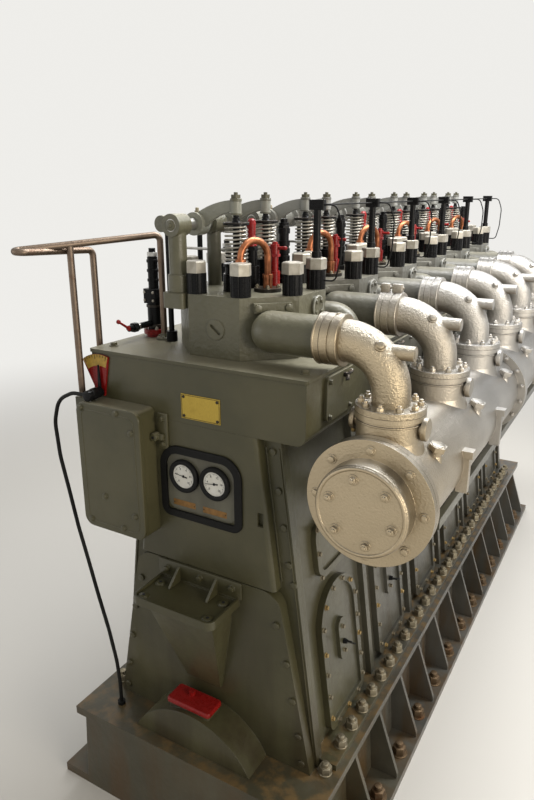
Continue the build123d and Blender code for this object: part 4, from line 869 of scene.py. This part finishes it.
def wingNut(bm, stem, wing, at, rim, lift):
    turned(bm, *stem)
    for end in bothWays:
        block(bm, wing, (end * at[0], at[1], at[2]), rim, Matrix.Rotation(end * -lift, 4, "Y"))


def doorFasteners():
    spec = dict(
        low=0.492, high=1.160, half=0.190, inset=0.017, rise=0.030, straight=(0.56, 0.67, 0.78, 0.88),
        arch=range(10, 180, 32), foot=(-0.11, 0.0, 0.11),
        upper=[(y, z) for z in (1.232, 1.452, 1.342) for y in (-0.133, 0.133)], upperRise=0.026,
        flap=(0.92, 0.80), knobZ=0.845, flapRise=0.036, bolt=(0.017, 0.010, 0.0125),
        knob=((0, 0.018, 0.013, 24, 0.002, 0.010), (0.036, 0.007, 0.026), (0.024, 0, 0.026), 0.003, 0.35))
    edge = spec["half"] - spec["inset"]
    top = spec["high"] - spec["half"]
    spots = [(way * edge, z) for way in bothWays for z in spec["straight"]]
    for angle in map(math.radians, spec["arch"]):
        spots.append((edge * math.cos(angle), top + edge * math.sin(angle)))
    spots += [(y, spec["low"] + spec["inset"]) for y in spec["foot"]]
    yellowed = []
    plain = []
    knobs = []
    for side in bothWays:
        for which, row in enumerate(rows):
            for i, (y, z) in enumerate(spots):
                kind = yellowed if (i + which) % 3 == 0 else plain
                kind.append(onWall(side, row + y, z, spec["rise"], i))
            plain += [onWall(side, row + y, z, spec["upperRise"], z) for y, z in spec["upper"]]
            plain += [onWall(side, row, z, spec["flapRise"]) for z in spec["flap"]]
            knobs.append(onWall(side, row, spec["knobZ"], spec["flapRise"], 0.5 * row))
    bolt = shape(hexBolt, *spec["bolt"])
    scatter("door_bolts", bolt, plain, "bolt")
    scatter("door_bolts_yellowed", bolt, yellowed, "brassBolt")
    scatter("door_wing_knobs", shape(wingNut, *spec["knob"]), knobs, "black")


def bedFasteners():
    spec = dict(
        x=0.574, ledge=0.478, last=1.71, count=29, corner=(0.567, 1.852, 0.450),
        nut=(0.050, 0.030, 0.030, 0.016), foot=(0.690, 0.045), footPitch=0.3,
        footNut=(0.060, 0.038, 0.044, 0.022))
    places = []
    x, y, z = spec["corner"]
    for side in bothWays:
        for i in range(spec["count"]):
            along = spec["last"] * (2 * i / (spec["count"] - 1) - 1)
            places.append(standOn((side * spec["x"], along, spec["ledge"]), up, along * 3))
        places += [standOn((side * x, end * y, z), up, end + side) for end in bothWays]
    scatter("bed_nuts", shape(hexBolt, *spec["nut"]), places, "bolt")
    x, z = spec["foot"]
    places = [standOn((side * x, spec["footPitch"] * (i - 6), z), up, i)
              for side in bothWays for i in range(13)]
    scatter("foundation_nuts", shape(hexBolt, *spec["footNut"]), places, "rusty")


def blockFasteners():
    spec = dict(
        faces=((1, 0.483), (-1, -0.565)), along=(-0.235, -0.045, 0.08, 0.235), heights=(2.003, 2.142),
        bolt=(0.016, 0.009, 0.012), wingAt=(0.483, -0.107, 2.142),
        wing=((0, 0.016, 0.010, 24, 0.002), (0.030, 0.005, 0.016), (0.019, 0, 0.014), 0.002, 0.3),
        intake=(0.358, 0.195), intakeCircle=0.067, intakeRise=0.016, intakeBolt=(0.014, 0.009),
        plugs=(-0.50, 0.42), plugY=1.82, plug=(0.026, 0.012, 0.02))
    places = [standOn((x, row + y, z), (side, 0, 0), y) for side, x in spec["faces"] for row in rows
              for y in spec["along"] for z in spec["heights"]]
    scatter("side_cover_bolts", shape(hexBolt, *spec["bolt"]), places, "engine")
    places = onRows([spec["wingAt"]], east, 0.6)
    scatter("side_cover_wing_nuts", shape(wingNut, *spec["wing"]), places, "iron")
    intakeX, intakeY = spec["intake"]
    places = [standOn((x, y, deck + spec["intakeRise"])) for row in rows
              for x, y in onRing((intakeX, row + intakeY), spec["intakeCircle"], 6, 20)]
    scatter("intake_flange_bolts", shape(hexBolt, *spec["intakeBolt"]), places, "head")
    places = [standOn((x, way * spec["plugY"], deck)) for x in spec["plugs"] for way in bothWays]
    scatter("deck_plugs", shape(hexBolt, *spec["plug"]), places, "engine")


def shelfBosses():
    spec = dict(
        z=1.195, spots=[(-0.192, -2.074), (-0.190, -1.963), (0.130, -1.954), (0.133, -2.071)],
        boss=((0, 0.006, 0.0195, 24, 0.002), (0, 0.003, 0.0255, 24, 0.002)),
        hole=(0.0058, 0.0066, 0.0068, 20), plate=(-0.240, 0.190, 1.203, 1.280), plateThick=0.008,
        ribs=(-0.128, 0.066), ribThick=0.011,
        rib=[(-0.006, 1.196), (-0.084, 1.196), (-0.080, 1.204), (-0.010, 1.266), (-0.006, 1.266)],
        bolts=((-0.194, 1.239), (-0.017, 1.244), (0.145, 1.247)), bolt=(0.024, 0.012, 0.017))
    places = [standOn((x, y, spec["z"])) for x, y in spec["spots"]]
    scatter("shelf_bosses", rings(*spec["boss"]), places, "engine")
    # black discs on the boss tops stand for the holes: painted shade of the holes
    scatter("shelf_boss_holes", rings(spec["hole"]), places, "ink")
    x0, x1, z0, z1 = spec["plate"]
    thick = spec["plateThick"]
    bm = bmesh.new()  # flange of the shelf against the cover and its two ribs
    block(bm, (x1 - x0, thick, z1 - z0), ((x0 + x1) / 2, panelFace - thick / 2, (z0 + z1) / 2), 0.003)
    for x in spec["ribs"]:
        extruded(bm, [(x - spec["ribThick"] / 2, panelFace + y, z) for y, z in spec["rib"]],
                 (spec["ribThick"], 0, 0))
    piece(bm, "shelf_ribs", "engine")
    places = [standOn((x, panelFace - thick, z), south, x) for x, z in spec["bolts"]]
    scatter("shelf_flange_bolts", shape(hexBolt, *spec["bolt"]), places, "engine")


def pumpDetails():
    spec = dict(
        x=-0.480, y=-0.062, footTop=2.218, footCircle=0.043, footNut=(0.014, 0.009, 0, 0.005),
        ringsZ=(2.432, 2.474, 2.516), ring=(0, 0.012, 0.0268, 32, 0.002), bodyZ=(2.228, 2.318),
        bodyRing=(0, 0.012, 0.0372, 32, 0.003), unionZ=(2.5425,), union=(0, 0.018, 0.0225, 6, 0.002),
        blockLow=2.336, screwX=(-0.024, 0.024), screwY=-0.036, screwRise=(0.014, 0.050),
        screw=(0.0062, 0.005), cockZ=2.246, glandY=-0.118,
        gland=((0, 0.014, 0.0195, 6, 0.002), (0.020, 0.026, 0.0165, 24, 0.001)), leverFoot=-0.178,
        leverHead=(-0.242, 2.286), leverRadius=(0.0062, 0.0048), ball=0.0100,
        leverHub=(-0.004, 0.010, 0.0105, 16, 0.002))
    pumps = [(spec["x"], row + spec["y"]) for row in rows]
    places = [standOn((x, y, spec["footTop"]), up, x) for pump in pumps
              for x, y in onRing(pump, spec["footCircle"], 4, 45)]
    scatter("pump_foot_nuts", shape(hexBolt, *spec["footNut"]), places, "nut")
    for name, ring, heights, look in (("pump_rings", "ring", "ringsZ", "black"),
                                      ("pump_body_rings", "bodyRing", "bodyZ", "iron"),
                                      ("pump_union_nuts", "union", "unionZ", "shaft")):
        places = [Matrix.Translation((x, y, z)) for x, y in pumps for z in spec[heights]]
        scatter(name, rings(spec[ring]), places, look)
    places = [standOn((x + dx, y + spec["screwY"], spec["blockLow"] + dz), south) for x, y in pumps
              for dx in spec["screwX"] for dz in spec["screwRise"]]
    scatter("pump_block_screws", shape(roundBolt, *spec["screw"]), places, "nut")
    # shut-off cock: bright gland, red lever with a ball
    places = [standOn((x, y + spec["glandY"], spec["cockZ"]), south) for x, y in pumps]
    scatter("pump_cock_glands", rings(*spec["gland"]), places, "shaft")
    bm = bmesh.new()
    headY, headZ = spec["leverHead"]
    for x, y in pumps:
        foot = Vector((x, y + spec["leverFoot"], spec["cockZ"]))
        head = Vector((x, y + headY, headZ))
        radius, top = spec["leverRadius"]
        arm = (0, (head - foot).length, radius, 16, 0, top)
        copyIn(bm, rings(arm, spec["leverHub"]), standOn(foot, head - foot))
        bmesh.ops.create_uvsphere(bm, u_segments=16, v_segments=10, radius=spec["ball"],
                                  matrix=Matrix.Translation(head))
    piece(bm, "pump_cock_levers", "red")


def railDetails():
    spec = dict(
        foot=(-0.400, -1.600), bracketY=-1.801, bracket=((-0.612, 2.110), (-0.570, 2.110)),
        bolt=(0.016, 0.009))

    def flange(bm):
        turned(bm, 0, 0.010, 0.036, rim=0.002)
        turned(bm, 0.01, 0.026, 0.021, rim=0.001, top=0.0165)
        for x, y in onRing((0, 0), 0.027, 3):
            turned(bm, 0.01, 0.017, 0.006, sides=6, rim=0.001, at=(x, y))

    scatter("rail_foot", shape(flange), [standOn((*spec["foot"], deck))], "engine")
    places = onFront(spec["bracket"], spec["bracketY"])
    scatter("rail_bracket_bolts", shape(hexBolt, *spec["bolt"]), places, "engine")


def couplingDetails():
    spec = dict(
        shaftZ=0.3, centre=(-0.002, 0.0006, 0.045, 48, 0.0004), sunk=0.001, sealCircle=0.132, sealBolts=12,
        sealRise=0.03, sealBolt=(0.015, 0.009))
    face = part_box("output_shaft")[1].y
    place = standOn((0, face - spec["sunk"], spec["shaftZ"]), north)
    scatter("coupling_centre", rings(spec["centre"]), [place], "shaft")
    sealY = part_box("bedplate")[1].y + spec["sealRise"]
    places = [standOn((x, sealY, z), north)
              for x, z in onRing((0, spec["shaftZ"]), spec["sealCircle"], spec["sealBolts"])]
    scatter("seal_ring_bolts", shape(hexBolt, *spec["sealBolt"]), places, "bolt")


endCover()
branches()
manifoldJoints()
bandDetails()
print("manifold pieces done")
headDetails()
rockerDetails()
valveHandles()
print("head pieces done")
gauges()
namePlate()
controlDetails()
latch()
print("panel pieces done")
caseFasteners()
doorFasteners()
bedFasteners()
blockFasteners()
shelfBosses()
print("case pieces done")
pumpDetails()
railDetails()
couplingDetails()
print("remaining pieces done")


def stage():
    look = {"floor": (0.62, 0.60, 0.56), "back": (0.86, 0.85, 0.82), "skyStrength": 0.4,
            "near": 3.2, "far": 9.0}
    bm = bmesh.new()
    bmesh.ops.create_grid(bm, x_segments=2, y_segments=2, size=60)
    mesh = bpy.data.meshes.new("floor")
    bm.to_mesh(mesh)
    bm.free()
    floor = addObject("floor", mesh)
    # the floor keeps the shadow near the engine and turns into the pale backdrop far from it
    f = Finish("pale floor")
    f.set(baseColor=look["floor"], roughness=0.7)
    glow = f.make("ShaderNodeEmission", {}, {"Color": (*look["back"], 1)})
    distance = f.make("ShaderNodeVectorMath", {"operation": "LENGTH"}, [f.place], output=1)
    share = f.ramp(distance, look["near"], look["far"]) * f.seenDirectly()
    both = f.make("ShaderNodeMixShader", {}, {0: share, 1: Wire(f, f.shader.outputs[0]), 2: glow})
    f.feed(f.tree.nodes["Material Output"].inputs["Surface"], both)
    mesh.materials.append(f.material)
    world = bpy.data.worlds.new("studio")
    bpy.context.scene.world = world
    world.use_nodes = True
    sky = Nodes(world.node_tree)
    back = sky.tree.nodes["Background"]
    back.inputs["Color"].default_value = (*look["back"], 1)
    sky.feed(back.inputs["Strength"], sky.seenDirectly() * (1 - look["skyStrength"]) + look["skyStrength"])


lamps = {
    "overhead": {"at": (1.4, 0.4, 5.2), "target": (0.4, 0.0, 1.8), "size": (1.3, 5.0), "power": 395,
                 "color": (0.98, 0.99, 1.0)},
    "window": {"at": (5.6, -3.0, 3.0), "target": (0.5, -1.0, 1.2), "size": (3.0, 2.4), "power": 165,
               "color": (1.0, 0.91, 0.77)},
    "fill": {"at": (-4.2, -5.2, 3.0), "target": (0.0, -1.5, 1.2), "size": (3.2, 2.4), "power": 32,
             "color": (1.0, 0.98, 0.95)},
    "rear": {"at": (-2.5, 5.0, 4.5), "target": (0.0, 1.0, 1.5), "size": (4.0, 3.0), "power": 120,
             "color": (1.0, 0.98, 0.95)},
}


def lamp(name, at, target, size, power, color):
    light = bpy.data.lights.new(name, "AREA")
    light.shape = "RECTANGLE"
    light.size, light.size_y = size
    light.energy = power
    light.color = color
    holder = addObject(name, light)
    holder.location = at
    holder.rotation_euler = (Vector(target) - Vector(at)).to_track_quat("-Z", "Y").to_euler()


def camera():
    view = {"at": (1.464, -3.888, 2.814), "forward": (-0.4797, 0.8243, -0.3007), "lens": 29.7,
            "sensor": 36, "end": 200}
    data = bpy.data.cameras.new("camera")
    data.lens = view["lens"]
    data.sensor_width = view["sensor"]
    data.clip_end = view["end"]
    holder = addObject("camera", data)
    holder.location = view["at"]
    holder.rotation_euler = Vector(view["forward"]).to_track_quat("-Z", "Y").to_euler()
    bpy.context.scene.camera = holder


stage()
for name, settings in lamps.items():
    lamp(name, **settings)
camera()
bpy.context.scene.view_settings.view_transform = "Standard"

print("stage and camera done")
